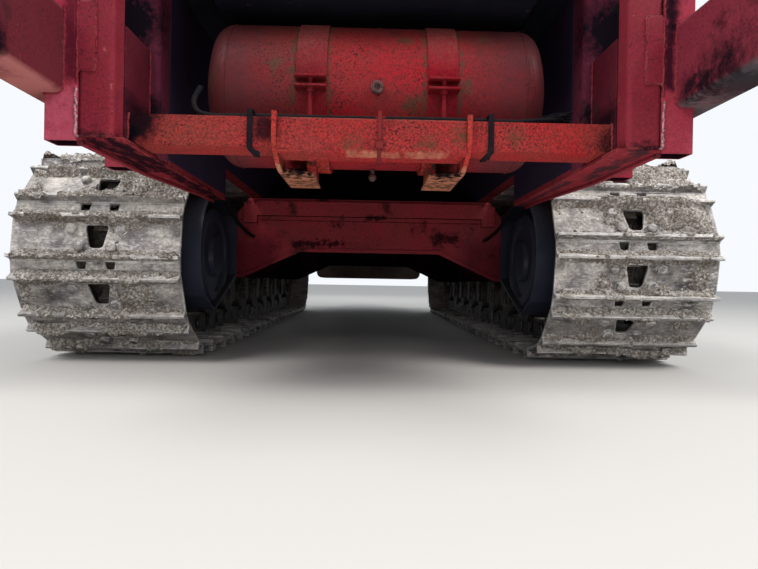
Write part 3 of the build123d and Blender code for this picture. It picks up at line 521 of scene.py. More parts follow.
# %% Colours of dirt, and the crimson that most of the frame has
BLACK = (0.003, 0.003, 0.005, 1)
RUSTY = (0.22, 0.105, 0.06, 1)
SCALE_BROWN = (0.05, 0.022, 0.015, 1)
MAROON = (0.05, 0.006, 0.012, 1)
OLIVE = (0.045, 0.03, 0.016, 1)
TAN = (0.3, 0.11, 0.1, 1)
PALE_WEAR = (0.3, 0.13, 0.08, 1)
CRIMSON = {
    "Paint": (0.13, 0.0085, 0.017, 1),
    "Faded": (0.17, 0.017, 0.026, 1),
    "Rust": (0.26, 0.08, 0.07, 1),
    "Mottle": 0.35,
    "Dustiness": 0.08,
}

# %% [markdown]
# ## The frame's paints
#
# The frame is all one crimson, but no two of its members look alike: the posts are the cleanest, the
# sockets beside them are painted paler, a painted highlight for the light that falls on them, the arms
# are greasy, and what stands in shade is painted almost black, as painted shade. One material for all
# would be quicker, but the near end would look like one casting. So each member has its own mix of the
# same values.
# The underside of the posts' flange and the sockets' mouths are painted dark: painted shade in the
# channel under the flange and inside the open tubes.

# %% Paint of the near posts
paint_red = painted(
    "paint_red",
    {**CRIMSON, "Specks": 0.6, "Grime": 0.3, "Chips": 0.45},
    coat=0.02,
    gloss=0.03,
    spots=(
        *(((x, -2.926, 0.647), 0.028, 0.0, 0.09, BLACK, 0.92) for x in (-0.672, -0.64, 0.645, 0.67)),
        *(((x, -2.9, 0.655), 0.02, 0.0, 0.08, BLACK, 0.85) for x in (-0.61, 0.612)),
    ),
)

# %% Paint of the leg sockets
# The sockets' paint is paler than the posts': a painted highlight, for the light that falls on them.
paint_socket = painted(
    "paint_socket",
    {
        **CRIMSON,
        "Paint": (0.23, 0.02, 0.037, 1),
        "Faded": (0.29, 0.042, 0.062, 1),
        "Specks": 0.35,
        "Chips": 0.4,
    },
    panels=(
        # Black boxes in the mouths of the open tubes: painted shade inside them.
        *(
            ((x - 0.034, y, 0.6), (x + 0.034, y + 0.052, 0.8), 0.001, 0.0, BLACK, 0.97)
            for x in (-0.726, 0.726) for y in (-2.924, -2.622)
        ),
        # Dark panels on the front faces between post and arm: painted shade in the recess, with some
        # grime.
        ((-0.72, -2.94, 0.78), (-0.688, -2.9, 1.2), 0.01, 0.03, MAROON, 0.85),
        ((0.688, -2.94, 0.79), (0.715, -2.9, 1.2), 0.008, 0.03, (0.018, 0.004, 0.008, 1), 0.93),
        ((0.688, -2.94, 0.93), (0.72, -2.9, 1.2), 0.02, 0.09, BLACK, 0.85),
        ((-0.78, -2.94, 0.6), (-0.68, -2.9285, 0.75), 0.02, 0.06, (0.4, 0.1, 0.15, 1), 0.55),
    ),
)

# %% Paint of the coupling arms
ARM_PAINT = {"right": (0.14, 0.017, 0.028, 1), "left": (0.088, 0.012, 0.018, 1)}
# Tints for faces that look down. The left arm's tan is rust and rubbed paint, and partly painted light
# from the ground below.
ARM_UNDERSIDE = {"right": ((0.075, 0.062, 0.066, 1), 0.6, 1.0), "left": (TAN, 0.05, 0.7)}
ARM_DIRT = {
    "right": (
        ((0.72, -2.98, 0.775), 0.05, 0.01, 0.1, BLACK, 0.85),
        ((0.72, -3.04, 0.772), 0.05, 0.01, 0.1, BLACK, 0.85),
        ((0.72, -3.12, 0.785), 0.05, 0.0, 0.1, BLACK, 0.8),
        ((0.72, -3.09, 0.875), 0.03, 0.0, 0.09, BLACK, 0.6),
        ((0.77, -3.1, 0.748), 0.14, 0.05, 0.2, BLACK, 0.7),
    ),
    "left": (
        ((-0.72, -3.17, 0.775), 0.055, 0.02, 0.08, BLACK, 0.9),
        ((-0.72, -3.24, 0.785), 0.06, 0.02, 0.08, BLACK, 0.9),
    ),
}
paint_arm = {
    side: painted(
        "paint_arm_" + side,
        {**CRIMSON, "Paint": ARM_PAINT[side], "Faded": ARM_PAINT[side], "Grime": 0.5, "Chips": 0.5},
        facing={"Down": ARM_UNDERSIDE[side]},
        spots=dirt,
    )
    for side, dirt in ARM_DIRT.items()
}

# %% Paint of the main beams
WEB_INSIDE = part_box("main_beam_right")[0][0] + 0.003
# The next two colours are painted shade: the first under the right rail's flange, the second on the webs'
# inner faces.
RAIL_SHADE = (0.018, 0.012, 0.015, 1)
SHADE = (0.013, 0.013, 0.026, 1)
paint_beam = painted(
    "paint_beam",
    {
        **CRIMSON,
        "Paint": (0.14, 0.012, 0.018, 1),
        "Faded": (0.17, 0.02, 0.026, 1),
        "Grime": 0.7,
        "Chips": 0.5,
    },
    panels=(
        # Painted shade: the inner faces of the webs, which the machine above would keep in the dark.
        ((-WEB_INSIDE, -3.4, 0.66), (WEB_INSIDE, 3.4, 1.3), 0.001, 0.0, SHADE, 0.94),
        # Painted shade under the rails' flanges, where the channel inside the lip lies in shadow.
        ((-0.674, -2.93, 0.6), (-0.582, -2.55, 0.646), 0.006, 0.06, BLACK, 0.92),
        ((-0.626, -2.55, 0.6), (-0.582, -1.9, 0.646), 0.006, 0.05, BLACK, 0.9),
        ((0.62, -2.93, 0.6), (0.66, -2.55, 0.646), 0.01, 0.1, RAIL_SHADE, 0.85),
        ((0.596, -2.55, 0.6), (0.616, -1.9, 0.646), 0.01, 0.06, RAIL_SHADE, 0.85),
    ),
)

# %% Paint of the gussets and second posts
# The gussets' paint is much darker than the frame's crimson: painted shade, for where they stand.
paint_gusset = painted(
    "paint_gusset",
    {
        **CRIMSON,
        "Paint": (0.054, 0.004, 0.01, 1),
        "Faded": (0.07, 0.007, 0.014, 1),
        "Grime": 0.7,
        "Chips": 0.12,
    },
    panels=tuple(
        ((x - 0.02, -2.87, 0.72), (x + 0.02, -2.7, 0.775), 0.02, 0.06, BLACK, 0.85) for x in (-0.61, 0.61)
    ),
)
# The second posts are darker still, and black at the spots below: painted shade, as the machine above
# keeps light off them.
paint_second = painted(
    "paint_second",
    {
        **CRIMSON,
        "Paint": (0.065, 0.01, 0.022, 1),
        "Faded": (0.09, 0.015, 0.03, 1),
        "Grime": 1.0,
        "Chips": 0.12,
    },
    spots=(
        ((0.66, -2.71, 1.02), 0.12, 0.05, 0.14, BLACK, 0.97),
        ((-0.66, -2.71, 1.02), 0.12, 0.05, 0.14, BLACK, 0.97),
        ((0.61, -2.71, 0.78), 0.06, 0.02, 0.1, BLACK, 0.9),
        ((-0.61, -2.71, 0.78), 0.06, 0.02, 0.1, BLACK, 0.9),
    ),
)

# %% [markdown]
# ## The tank's paints
#
# The tank hangs in the dark between the beams. Its middle is the reddest thing on the machine, its ends
# fall into shade, and grey-green grime has run down beside its straps. The bar in front of it is more
# orange, mottled all over by road dirt, and the brackets' foot plates have lost most of their paint. The
# shade on the ends could be left to the lamps, but the lamps are soft, so part of it is in the paint.

# %% Paint of the tank and its straps
GLOOM = (0.045, 0.012, 0.014, 1)
STRAP_EDGES = (-0.213, -0.119, 0.139, 0.235)     # where the two straps' sides lie, along X
paint_tank = painted(
    "paint_tank",
    {
        "Paint": (0.235, 0.006, 0.011, 1),
        "Faded": (0.14, 0.01, 0.012, 1),
        "Dust": (0.085, 0.024, 0.018, 1),
        "Mottle": 0.62,
        "Specks": 1.0,
        "Grime": 0.35,
        "Chips": 0.1,
        "Dustiness": 0.45,
    },
    coat=0.05,
    gloss=0.04,
    panels=(
        *(
            ((x - 0.004, -2.78, 0.7), (x + 0.004, -2.5, 1.05), 0.003, 0.07, OLIVE, 0.65)
            for x in STRAP_EDGES
        ),
        ((-0.6, -2.8, 0.6), (-0.31, -2.3, 1.1), 0.11, 0.12, GLOOM, 0.95),
        ((0.31, -2.8, 0.6), (0.6, -2.3, 1.1), 0.11, 0.12, GLOOM, 0.95),
    ),
    spots=(
        ((0.11, -2.74, 0.8), 0.035, 0.01, 0.1, OLIVE, 0.8),
        ((0.25, -2.74, 0.85), 0.03, 0.0, 0.14, OLIVE, 0.8),
        ((0.3, -2.7, 0.99), 0.03, 0.0, 0.15, OLIVE, 0.7),
        ((-0.26, -2.74, 0.9), 0.03, 0.0, 0.15, OLIVE, 0.7),
        ((-0.44, -2.72, 0.86), 0.04, 0.0, 0.16, OLIVE, 0.7),
        ((0.09, -2.7, 0.98), 0.03, 0.01, 0.09, OLIVE, 0.7),
        ((0.2, -2.74, 0.78), 0.04, 0.01, 0.1, OLIVE, 0.8),
    ),
)
paint_strap = painted(
    "paint_strap",
    {
        "Paint": (0.17, 0.006, 0.012, 1),
        "Faded": (0.12, 0.009, 0.013, 1),
        "Specks": 0.6,
        "Chips": 0.3,
        "Dustiness": 0.2,
    },
)

# %% Paint of the bar
paint_bar = painted(
    "paint_bar",
    {
        "Paint": (0.26, 0.015, 0.016, 1),
        "Faded": (0.2, 0.024, 0.021, 1),
        "Dust": (0.12, 0.042, 0.03, 1),
        "Mottle": 0.85,
        "Specks": 1.0,
        "Grime": 0.5,
        "Chips": 0.2,
        "Dustiness": 0.4,
    },
    spots=(
        ((-0.268, -2.846, 0.7), 0.045, 0.02, 0.04, BLACK, 0.85),
        ((-0.05, -2.854, 0.665), 0.04, 0.0, 0.16, OLIVE, 0.6),
        ((0.14, -2.854, 0.665), 0.035, 0.0, 0.16, OLIVE, 0.55),
        ((0.225, -2.854, 0.69), 0.03, 0.0, 0.12, OLIVE, 0.75),
        ((0.36, -2.846, 0.69), 0.03, 0.0, 0.14, OLIVE, 0.6),
        ((-0.6, -2.846, 0.725), 0.09, 0.05, 0.05, BLACK, 0.95),
        ((-0.6, -2.846, 0.68), 0.03, 0.015, 0.04, BLACK, 0.9),
        ((0.6, -2.846, 0.68), 0.05, 0.02, 0.05, BLACK, 0.7),
    ),
    panels=(((-0.06, -2.9, 0.63), (0.19, -2.8, 0.644), 0.006, 0.045, PALE_WEAR, 0.55),),
)

# %% Paint of the brackets
paint_bracket = painted(
    "paint_bracket",
    {
        "Paint": (0.34, 0.022, 0.02, 1),
        "Faded": (0.27, 0.03, 0.022, 1),
        "Mottle": 0.8,
        "Specks": 0.9,
        "Grime": 0.4,
        "Chips": 0.6,
        "Dustiness": 0.3,
    },
    spots=(
        ((-0.19, -2.745, 0.625), 0.04, 0.02, 0.05, BLACK, 0.95),
        ((0.19, -2.745, 0.625), 0.04, 0.02, 0.05, BLACK, 0.95),
        ((0.17, -2.66, 0.64), 0.035, 0.01, 0.05, BLACK, 0.9),
        *(((x, y, 0.612), 0.09, 0.0, 0.6, SCALE_BROWN, 0.85) for x in (-0.2, 0.2) for y in (-2.7, -2.58)),
        *(((x, -2.72, 0.612), 0.05, 0.0, 0.4, BLACK, 0.9) for x in (-0.2, 0.2)),
    ),
    panels=(
        *(
            ((x - 0.05, -2.8, 0.59), (x + 0.05, -2.47, 0.624), 0.004, 0.02, RUSTY, 0.75)
            for x in (-0.2, 0.2)
        ),
    ),
)

# %% [markdown]
# ## The cross beams' paint, and the dark ones
#
# The near cross beam is scuffed where stones strike its front, and black underneath, which is grease and
# painted shade. A thin black line under the strip on its face is a painted shadow. The far one stands in
# the dark, so its whole front is painted black as shade. Track frames, final drives and guards are caked
# with old grease, and little red is left on them. The trough floor is painted near black, as shade from
# the machine above, with a little dust, and the low box at the far end is bare, brown and dusty.

# %% Paint of the cross beams
paint_cross = painted(
    "paint_cross",
    {
        "Paint": (0.35, 0.034, 0.046, 1),
        "Faded": (0.24, 0.038, 0.047, 1),
        "Mottle": 0.4,
        "Specks": 0.7,
        "Grime": 0.8,
        "Chips": 0.6,
        "Dustiness": 0.2,
    },
    # Faces that look down are almost black: grease, and painted shade under the beam.
    facing={"Down": (BLACK, 0.97, 0.995)},
    panels=(
        # The far beam's whole front is painted black: painted shade, since it stands in the dark.
        ((-1.0, 0.0, 0.0), (1.0, 1.0, 0.6), 0.04, 0.08, BLACK, 0.97),
        ((-0.42, -1.3, 0.51), (-0.13, -1.1, 0.54), 0.012, 0.14, BLACK, 0.85),
        ((-0.02, -1.3, 0.66), (0.08, -1.1, 0.68), 0.008, 0.08, BLACK, 0.85),
        ((0.37, -1.3, 0.54), (0.48, -1.1, 0.59), 0.012, 0.14, BLACK, 0.8),
        ((-0.2, -1.3, 0.62), (-0.16, -1.1, 0.64), 0.01, 0.08, BLACK, 0.8),
        # A thin black line across the face: a painted shadow under the strip.
        ((-0.6, -1.3, 0.648), (0.6, -1.1, 0.652), 0.002, 0.006, BLACK, 0.8),
        *(((x - 0.3, -1.3, 0.2), (x + 0.3, -0.9, 0.56), 0.05, 0.06, MAROON, 0.6) for x in (-0.8, 0.8)),
    ),
)

# %% Dark paints
paint_dark = painted(
    "paint_dark",
    {
        "Paint": (0.03, 0.008, 0.009, 1),
        "Faded": (0.02, 0.01, 0.01, 1),
        "Dust": (0.05, 0.04, 0.033, 1),
        "Grime": 0.8,
        "Chips": 0.4,
        "Dustiness": 0.4,
    },
)
# The trough's paint is near black: painted shade, for the machine above that would keep light off it.
paint_brown = painted(
    "paint_brown",
    {
        "Paint": (0.006, 0.007, 0.012, 1),
        "Faded": (0.01, 0.01, 0.016, 1),
        "Dust": (0.022, 0.02, 0.024, 1),
        "Grime": 0.5,
        "Dustiness": 0.4,
    },
)
paint_black = painted(
    "paint_black",
    {
        "Paint": (0.012, 0.014, 0.025, 1),
        "Faded": (0.02, 0.023, 0.036, 1),
        "Dust": (0.045, 0.042, 0.045, 1),
        "Specks": 0.2,
        "Chips": 0.2,
        "Dustiness": 0.2,
    },
    coat=0.12,
)
paint_far = painted(
    "paint_far",
    {"Paint": (0.1, 0.07, 0.06, 1), "Faded": (0.16, 0.13, 0.11, 1), "Specks": 0.5, "Dustiness": 0.4},
)
print("paints:", [material.name for material in bpy.data.materials])

# %% [markdown]
# ## Worn steel
#
# The tracks were never painted. Where mud dried on them they are brown, where they rub they are blue-grey
# and bright, and the tips of their bars are worn to bare metal. The tips could be faces with a material
# of their own. Here the distance from the line of the pins says where they are, on the straights and
# round both ends alike, so that the brightness fades into the bar.

# %% Sizes of the tracks, in metres
TRACK_PITCH = 0.182
TRACK_SHOES = 51
TRACK_WRAP = 11             # shoes that would go once round an end
TRACK_TURN = {1: 0.45, -1: 0.96}        # how far, in shoes, the right and the left loop have run on
TRACK_MIDDLE = 0.99         # from the machine's middle, across
SIDES = ((1, "right"), (-1, "left"))
PIN_LINE_UP = 0.1           # the lower line of the pins, above the ground
WRAP_RADIUS = TRACK_PITCH / (2 * sin(pi / TRACK_WRAP))
HALF_CENTRES = (TRACK_SHOES - TRACK_WRAP) * TRACK_PITCH / 4
AXLE_HEIGHT = WRAP_RADIUS + PIN_LINE_UP
print("wrap radius:", round(WRAP_RADIUS, 4), "axles at:", round(HALF_CENTRES, 3), round(AXLE_HEIGHT, 4))

# %% How far a point of a track stands out of the line of its pins
TIP_WORN_FROM, TIP_WORN_TO = 0.089, 0.097
out_of_chain, taken, given = new_group("out_of_chain", {}, {"Out": "Float"})
place = node(out_of_chain, "TexCoord").outputs["Object"]
place = node(out_of_chain, "SeparateXYZ", {0: place}).outputs
beyond = math(out_of_chain, "SUBTRACT", math(out_of_chain, "ABSOLUTE", place["Y"]), HALF_CENTRES)
beyond = math(out_of_chain, "MAXIMUM", beyond, 0.0)
above = math(out_of_chain, "SUBTRACT", place["Z"], AXLE_HEIGHT)
above = times(out_of_chain, above, above)
squares = math(out_of_chain, "ADD", math(out_of_chain, "POWER", beyond, 2.0), above)
reach = math(out_of_chain, "SQRT", squares)
out_of_chain.links.new(math(out_of_chain, "SUBTRACT", reach, WRAP_RADIUS), given["Out"])


# %% Worn steel: brown where mud dried on it, bluish and brighter where it is rubbed
DRY_BROWN = (0.05, 0.03, 0.022, 1)
STEEL_BUMP = 0.003


def steel(name, dark, light, rubbed, film, scale=7.0, dust=0.5, metal=0.5, tips=False):
    """Bare worn steel with a film of dried mud in its hollows. tips brightens the tracks' bars."""
    material, tree, shader = new_material(name)
    tone = blotches(tree, scale, 0.36, 0.64, 9.0)
    colour = blend(tree, tone, dark, light)
    streak = blotches(tree, 48.0, 0.4, 0.62, 7.0, across=0.22)
    colour = blend(tree, times(tree, streak, 0.6), colour, dark)
    grit = blotches(tree, 120.0, 0.44, 0.58, 6.0, across=0.5)
    colour = blend(tree, times(tree, grit, 0.6), colour, dark)
    stain = blotches(tree, 11.0, 0.54, 0.68, 9.0, across=0.6)
    colour = blend(tree, times(tree, stain, 0.75), colour, DRY_BROWN)
    shine = blotches(tree, 75.0, 0.56, 0.68, 9.0, across=0.35)
    edge = use(tree, worn_edges, {"Radius": 0.009, "Breakup": 12.0})
    shine = math(tree, "MAXIMUM", times(tree, shine, 0.45), edge["Mask"])
    if tips:
        worn = ramp(tree, use(tree, out_of_chain)["Out"], TIP_WORN_FROM, TIP_WORN_TO)
        chipped = blotches(tree, 34.0, 0.36, 0.52, 7.0, across=0.4)
        worn = times(tree, worn, chipped)
        shine = math(tree, "MAXIMUM", shine, times(tree, worn, 0.6))
    colour = blend(tree, shine, colour, rubbed)
    cover = use(tree, settled_dust, {"Everywhere": dust, "Upwards": 0.5, "Scale": 13.0})["Mask"]
    colour = blend(tree, cover, colour, film)
    # Faces that look down are darkened: painted shade under the bars and the shoes.
    colour = blend(tree, times(tree, use(tree, facing_group)["Down"], 0.5), colour, dark)
    bare = math(tree, "SUBTRACT", 1.0, cover, clamp=True)
    tree.links.new(colour, shader.inputs["Base Color"])
    metallic = times(tree, bare, ramp(tree, shine, 0, 1, metal * 0.4, metal))
    tree.links.new(metallic, shader.inputs["Metallic"])
    rough = math(tree, "SUBTRACT", cover, times(tree, shine, 0.6))
    rough = ramp(tree, rough, -0.6, 0.6, 0.38, 0.9)
    tree.links.new(rough, shader.inputs["Roughness"])
    height = math(tree, "ADD", times(tree, grit, 0.6), cover)
    bump = node(tree, "Bump", {"Height": height, "Distance": STEEL_BUMP, "Normal": edge["Normal"]})
    tree.links.new(bump.outputs[0], shader.inputs["Normal"])
    return material


shoe_steel = steel(
    "shoe_steel",
    dark=(0.045, 0.038, 0.04, 1),
    light=(0.46, 0.42, 0.405, 1),
    rubbed=(0.9, 0.88, 0.86, 1),
    film=(0.74, 0.68, 0.6, 1),
    dust=0.6,
    tips=True,
)
dark_steel = steel(
    "dark_steel",
    dark=(0.02, 0.016, 0.014, 1),
    light=(0.08, 0.065, 0.055, 1),
    rubbed=(0.4, 0.38, 0.36, 1),
    film=(0.2, 0.16, 0.13, 1),
    dust=0.35,
)
port_steel = steel(
    "port_steel",
    dark=(0.015, 0.003, 0.003, 1),
    light=(0.075, 0.009, 0.009, 1),
    rubbed=(0.1, 0.025, 0.022, 1),
    film=(0.06, 0.012, 0.01, 1),
    scale=40.0,
    metal=0.2,
)

# %% [markdown]
# ## Gravelly mud
#
# The mud is full of small pale stones. Stones by the thousand could be scattered as objects, but they
# would take millions of faces. Voronoi cells look like stones that lie close together: each cell has a
# tint of its own, its middle stands up, and the seams between cells are dark. Coarse and fine cells lie
# over each other, bent a little so that none is a clean polygon, and blotches of wet mud darken both.

# %% Gravelly mud: pale clods with dark wet hollows between them, and sand on every face
CLOD_SCALE, GRAIN_SCALE, CRUMB_SCALE = 105.0, 260.0, 95.0
MUD_BUMP = 0.012

gravel, tree, shader = new_material("gravel_mud")
place = node(tree, "TexCoord").outputs["Object"]
warp = node(tree, "TexNoise", {"Vector": place, "Scale": 60.0, "Detail": 4.0}).outputs["Color"]
place = node(tree, "Mix", {0: 0.02, 4: place, 5: warp}, data_type="VECTOR").outputs[1]
clod = node(tree, "TexVoronoi", {"Vector": place, "Scale": CLOD_SCALE})
grain = node(tree, "TexVoronoi", {"Vector": place, "Scale": GRAIN_SCALE})
tint = node(tree, "SeparateColor", {0: clod.outputs["Color"]}).outputs[0]
colour = blend(tree, tint, (0.5, 0.435, 0.37, 1), (0.88, 0.82, 0.75, 1))
fleck = node(tree, "SeparateColor", {0: grain.outputs["Color"]}).outputs[1]
colour = blend(tree, ramp(tree, fleck, 0.55, 1.0, 0.0, 0.6), colour, (0.95, 0.92, 0.88, 1))
wet = blotches(tree, 13.0, 0.44, 0.6, 9.0)
colour = blend(tree, times(tree, wet, 0.45), colour, (0.17, 0.125, 0.09, 1))
# Faces that look down are darkened: painted shade under the clods and the crust.
under = use(tree, facing_group)["Down"]
colour = blend(tree, times(tree, under, 0.5), colour, (0.07, 0.05, 0.036, 1))
gap = ramp(tree, clod.outputs["Distance"], 0.38, 0.72)
colour = blend(tree, times(tree, gap, 0.65), colour, (0.08, 0.055, 0.04, 1))
chink = ramp(tree, grain.outputs["Distance"], 0.4, 0.75)
colour = blend(tree, times(tree, chink, 0.5), colour, (0.1, 0.075, 0.055, 1))
tree.links.new(colour, shader.inputs["Base Color"])
shader.inputs["Roughness"].default_value = 0.95
shader.inputs["Specular IOR Level"].default_value = 0.15
crumb = use(tree, patches, {"Scale": CRUMB_SCALE, "Detail": 9.0})["Raw"]
height = math(tree, "ADD", clod.outputs["Distance"], times(tree, grain.outputs["Distance"], 0.6))
height = math(tree, "SUBTRACT", times(tree, crumb, 2.2), times(tree, height, 0.7))
bump = node(tree, "Bump", {"Height": height, "Distance": MUD_BUMP})
tree.links.new(bump.outputs[0], shader.inputs["Normal"])

# %% [markdown]
# ## Rubber, the floor, and a finish for each CAD node
#
# Hoses and bands are black rubber under a little dust, and the narrow tie in the middle of the bar is red
# with overspray. The CAD nodes keep their shapes and need only a finish. It could be set node by node,
# but their names say what they are, so a table gives the finish for each kind. The first row that a name
# starts with is the one that counts.

# %% Rubber and the floor
TIE_RED = (0.11, 0.014, 0.014, 1)
rubber = painted(
    "rubber",
    {
        "Paint": (0.003, 0.003, 0.005, 1),
        "Faded": (0.006, 0.006, 0.008, 1),
        "Dust": (0.02, 0.015, 0.013, 1),
        "Specks": 0.1,
        "Chips": 0.0,
        "Dustiness": 0.3,
    },
    gloss=0.02,
    panels=(((0.008, -2.87, 0.63), (0.032, -2.74, 0.75), 0.001, 0.0, TIE_RED, 0.95),),
)
pale, tree, shader = new_material("pale_floor")
shader.inputs["Base Color"].default_value = FLOOR_COLOUR
shader.inputs["Roughness"].default_value = 0.9
floor.data.materials.append(pale)

# %% Dress the CAD nodes: each takes the finish of its kind
FINISHES = (
    # node's name starts with, material
    ("track_frame", paint_dark),
    ("track", shoe_steel),
    ("sprocket", dark_steel),
    ("final_drive", paint_dark),
    ("drive_hose", rubber),
    ("drive", paint_black),
    ("idler_yoke", paint_dark),
    ("idler", dark_steel),
    ("bottom_rollers", dark_steel),
    ("carrier_rollers", dark_steel),
    ("bar_hose", rubber),
    ("bar_bands", rubber),
    ("tank_fittings", port_steel),
    ("tank_bar", paint_bar),
    ("tank_bracket", paint_bracket),
    ("tank_straps", paint_strap),
    ("air_tank", paint_tank),
    ("trough", paint_brown),
    ("far_box", paint_far),
    ("far_cross", paint_dark),
    ("cross_beam", paint_cross),
    ("main_beam", paint_beam),
    ("gusset", paint_gusset),
    ("second_post", paint_second),
    ("leg_sockets", paint_socket),
    ("coupling_arm_right", paint_arm["right"]),
    ("coupling_arm_left", paint_arm["left"]),
    ("", paint_red),
)
for name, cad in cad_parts.items():
    finish = next(material for start, material in FINISHES if name.startswith(start))
    cad.data.materials.clear()
    cad.data.materials.append(finish)
print("dressed:", len(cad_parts), "nodes")

# %% [markdown]
# ## One track shoe
#
# A shoe is a flat plate with two bars across it. Its leading lip bends inward and tucks under the next
# shoe, and a hole in its middle lets mud fall out. The shoe is modelled flat, lying in front of the
# builder: X runs across the track, Y along it and Z out of it, measured from the line of the pins. It
# starts as a cube. Cuts mark where the bars stand, the bars and the lip are drawn out of the cut faces,
# and the hole and notches are cut with shapes of their own. Everything here is in metres.

# %% Sizes of a shoe, and where each link lies
SHOE_HALF = 0.305
SHOE_BACK, SHOE_FRONT = -0.09, 0.085
SHOE_FACE = 0.07            # outer face of the plate
SHOE_THICK = 0.012
BAR_AT = 0.075              # each bar's middle, from the shoe's
BAR_BASE, BAR_TIP, BAR_HEIGHT = 0.02, 0.012, 0.029
LIP = ((0.015, -0.006), (0.028, -0.009))      # how far each of its two folds reaches on, and rises


def loop_place(t):
    """Where the line of pins is, t links on from the top of the sprocket, as (y, z)."""
    run = (TRACK_SHOES - TRACK_WRAP) / 2
    wrap = TRACK_WRAP / 2
    t %= TRACK_SHOES
    if t < run:
        return -HALF_CENTRES + t * TRACK_PITCH, AXLE_HEIGHT + WRAP_RADIUS
    if t < run + wrap:
        turn = pi * (t - run) / wrap
        return HALF_CENTRES + WRAP_RADIUS * sin(turn), AXLE_HEIGHT + WRAP_RADIUS * cos(turn)
    if t < 2 * run + wrap:
        return HALF_CENTRES - (t - run - wrap) * TRACK_PITCH, AXLE_HEIGHT - WRAP_RADIUS
    turn = pi * (t - 2 * run - wrap) / wrap
    return -HALF_CENTRES - WRAP_RADIUS * sin(turn), AXLE_HEIGHT - WRAP_RADIUS * cos(turn)


def link_places(side):
    """The matrix that lays a flat shoe on each link of one track. side is 1 for right and -1 for left."""
    places = []
    for number in range(TRACK_SHOES):
        start = loop_place(number + TRACK_TURN[side])
        end = loop_place(number + 1 + TRACK_TURN[side])
        along = Vector((0, end[0] - start[0], end[1] - start[1])).normalized()
        out = Vector((1, 0, 0)).cross(along)
        turn = Matrix((Vector((1, 0, 0)), along, out)).transposed().to_4x4()
        middle = Vector((side * TRACK_MIDDLE, (start[0] + end[0]) / 2, (start[1] + end[1]) / 2))
        places.append(Matrix.Translation(middle) @ turn)
    return places


# %% The shoe's plate, bars and lip
def box_from(low, high):
    """A cube stretched between two corners, with its place in its mesh."""
    deselect()
    middle = (Vector(low) + Vector(high)) / 2
    bpy.ops.mesh.primitive_cube_add(size=1, location=middle)
    bpy.context.object.scale = Vector(high) - Vector(low)
    settle(bpy.context.object)
    return bpy.context.object


def on_outside(face, middle):
    """True for a face on the outside of the plate, at the foot of the bar that stands at middle."""
    at_foot = abs(face.center.y - middle) < 0.004
    return at_foot and face.normal.z > 0.9 and face.center.z > SHOE_FACE - 0.001


shoe = box_from((-SHOE_HALF, SHOE_BACK, SHOE_FACE - SHOE_THICK), (SHOE_HALF, SHOE_FRONT, SHOE_FACE))
for middle in (-BAR_AT, BAR_AT):
    for edge_at in (middle - BAR_BASE / 2, middle + BAR_BASE / 2):
        cut(shoe, (0, edge_at, 0), (0, 1, 0))
for middle in (-BAR_AT, BAR_AT):
    edit_faces(shoe, lambda f: on_outside(f, middle))
    bpy.ops.mesh.extrude_region_move(TRANSFORM_OT_translate={"value": (0, 0, BAR_HEIGHT)})
    centre = (0, middle, SHOE_FACE + BAR_HEIGHT)
    bpy.ops.transform.resize(value=(1, BAR_TIP / BAR_BASE, 1), center_override=centre)
edit_faces(shoe, lambda f: f.normal.y > 0.9 and f.center.y > SHOE_FRONT - 0.001)
for reach, rise in LIP:
    bpy.ops.mesh.extrude_region_move(TRANSFORM_OT_translate={"value": (0, reach, rise)})
deselect()
print("shoe:", len(shoe.data.polygons), "faces")

# %% [markdown]
# ## Holes in the shoe
#
# The mud hole is wider at one end and has rounded corners, and two notches in the lip make room for the
# next shoe's bolts. The plate's faces could be laid out round the holes from the start, but that is slow
# to change. A block in the form of each hole is made instead, and a Boolean takes it away from the plate.


# %% The mud hole and the two notches in the lip
def tapered_cutter(x, y, near_half, far_half, corner):
    """A block to cut with, wider at one end than at the other, with rounded upright corners."""
    cutter = box_from((x - near_half, y[0], 0.0), (x + near_half, y[1], 0.2))
    edit_faces(cutter, lambda f: f.normal.y > 0.9)
    bpy.ops.transform.resize(value=(far_half / near_half, 1, 1), center_override=(x, y[1], 0.1))
    bpy.ops.mesh.select_mode(type="EDGE")
    bpy.ops.mesh.select_all(action="DESELECT")
    bpy.ops.object.mode_set(mode="OBJECT")
    corners = cutter.data.vertices
    for line in cutter.data.edges:
        line.select = abs(corners[line.vertices[0]].co.z - corners[line.vertices[1]].co.z) > 0.1
    bpy.ops.object.mode_set(mode="EDIT")
    bpy.ops.mesh.bevel(offset=corner, segments=4)
    deselect()
    return cutter


CUTTERS = (
    # x, y from and to, half width at each end, corner radius
    (0.0, (-0.041, 0.044), 0.024, 0.043, 0.012),
    (-0.052, (0.098, 0.15), 0.015, 0.024, 0.006),
    (0.052, (0.098, 0.15), 0.015, 0.024, 0.006),
)
for x, y, near_half, far_half, corner in CUTTERS:
    cutter = tapered_cutter(x, y, near_half, far_half, corner)
    apply_modifier(shoe, "BOOLEAN", object=cutter, operation="DIFFERENCE", solver="EXACT")
    bpy.data.objects.remove(cutter)

# %% Worn corners, and cuts across the plate so that it can be dented
WORN_CORNER = 0.0028
SHARP = radians(35)         # a corner that turns more than this is worn round
SHOE_FIELDS = 16            # stretches across a shoe between two cuts
DENT_LINES = (-0.03, 0.03)

apply_modifier(shoe, "BEVEL", width=WORN_CORNER, segments=2, limit_method="ANGLE", angle_limit=SHARP)
for number in range(1, SHOE_FIELDS):
    cut(shoe, (-SHOE_HALF + number * 2 * SHOE_HALF / SHOE_FIELDS, 0, 0), (1, 0, 0))
for y in DENT_LINES:
    cut(shoe, (0, y, 0), (0, 1, 0))

# %% [markdown]
# ## Bolts
#
# Four bolts hold a shoe on its two links, and their heads show in the mud. A plain six-sided cylinder
# would look like a toy, so the top of each head is bevelled and has a shallow inset, and no two are
# turned alike.

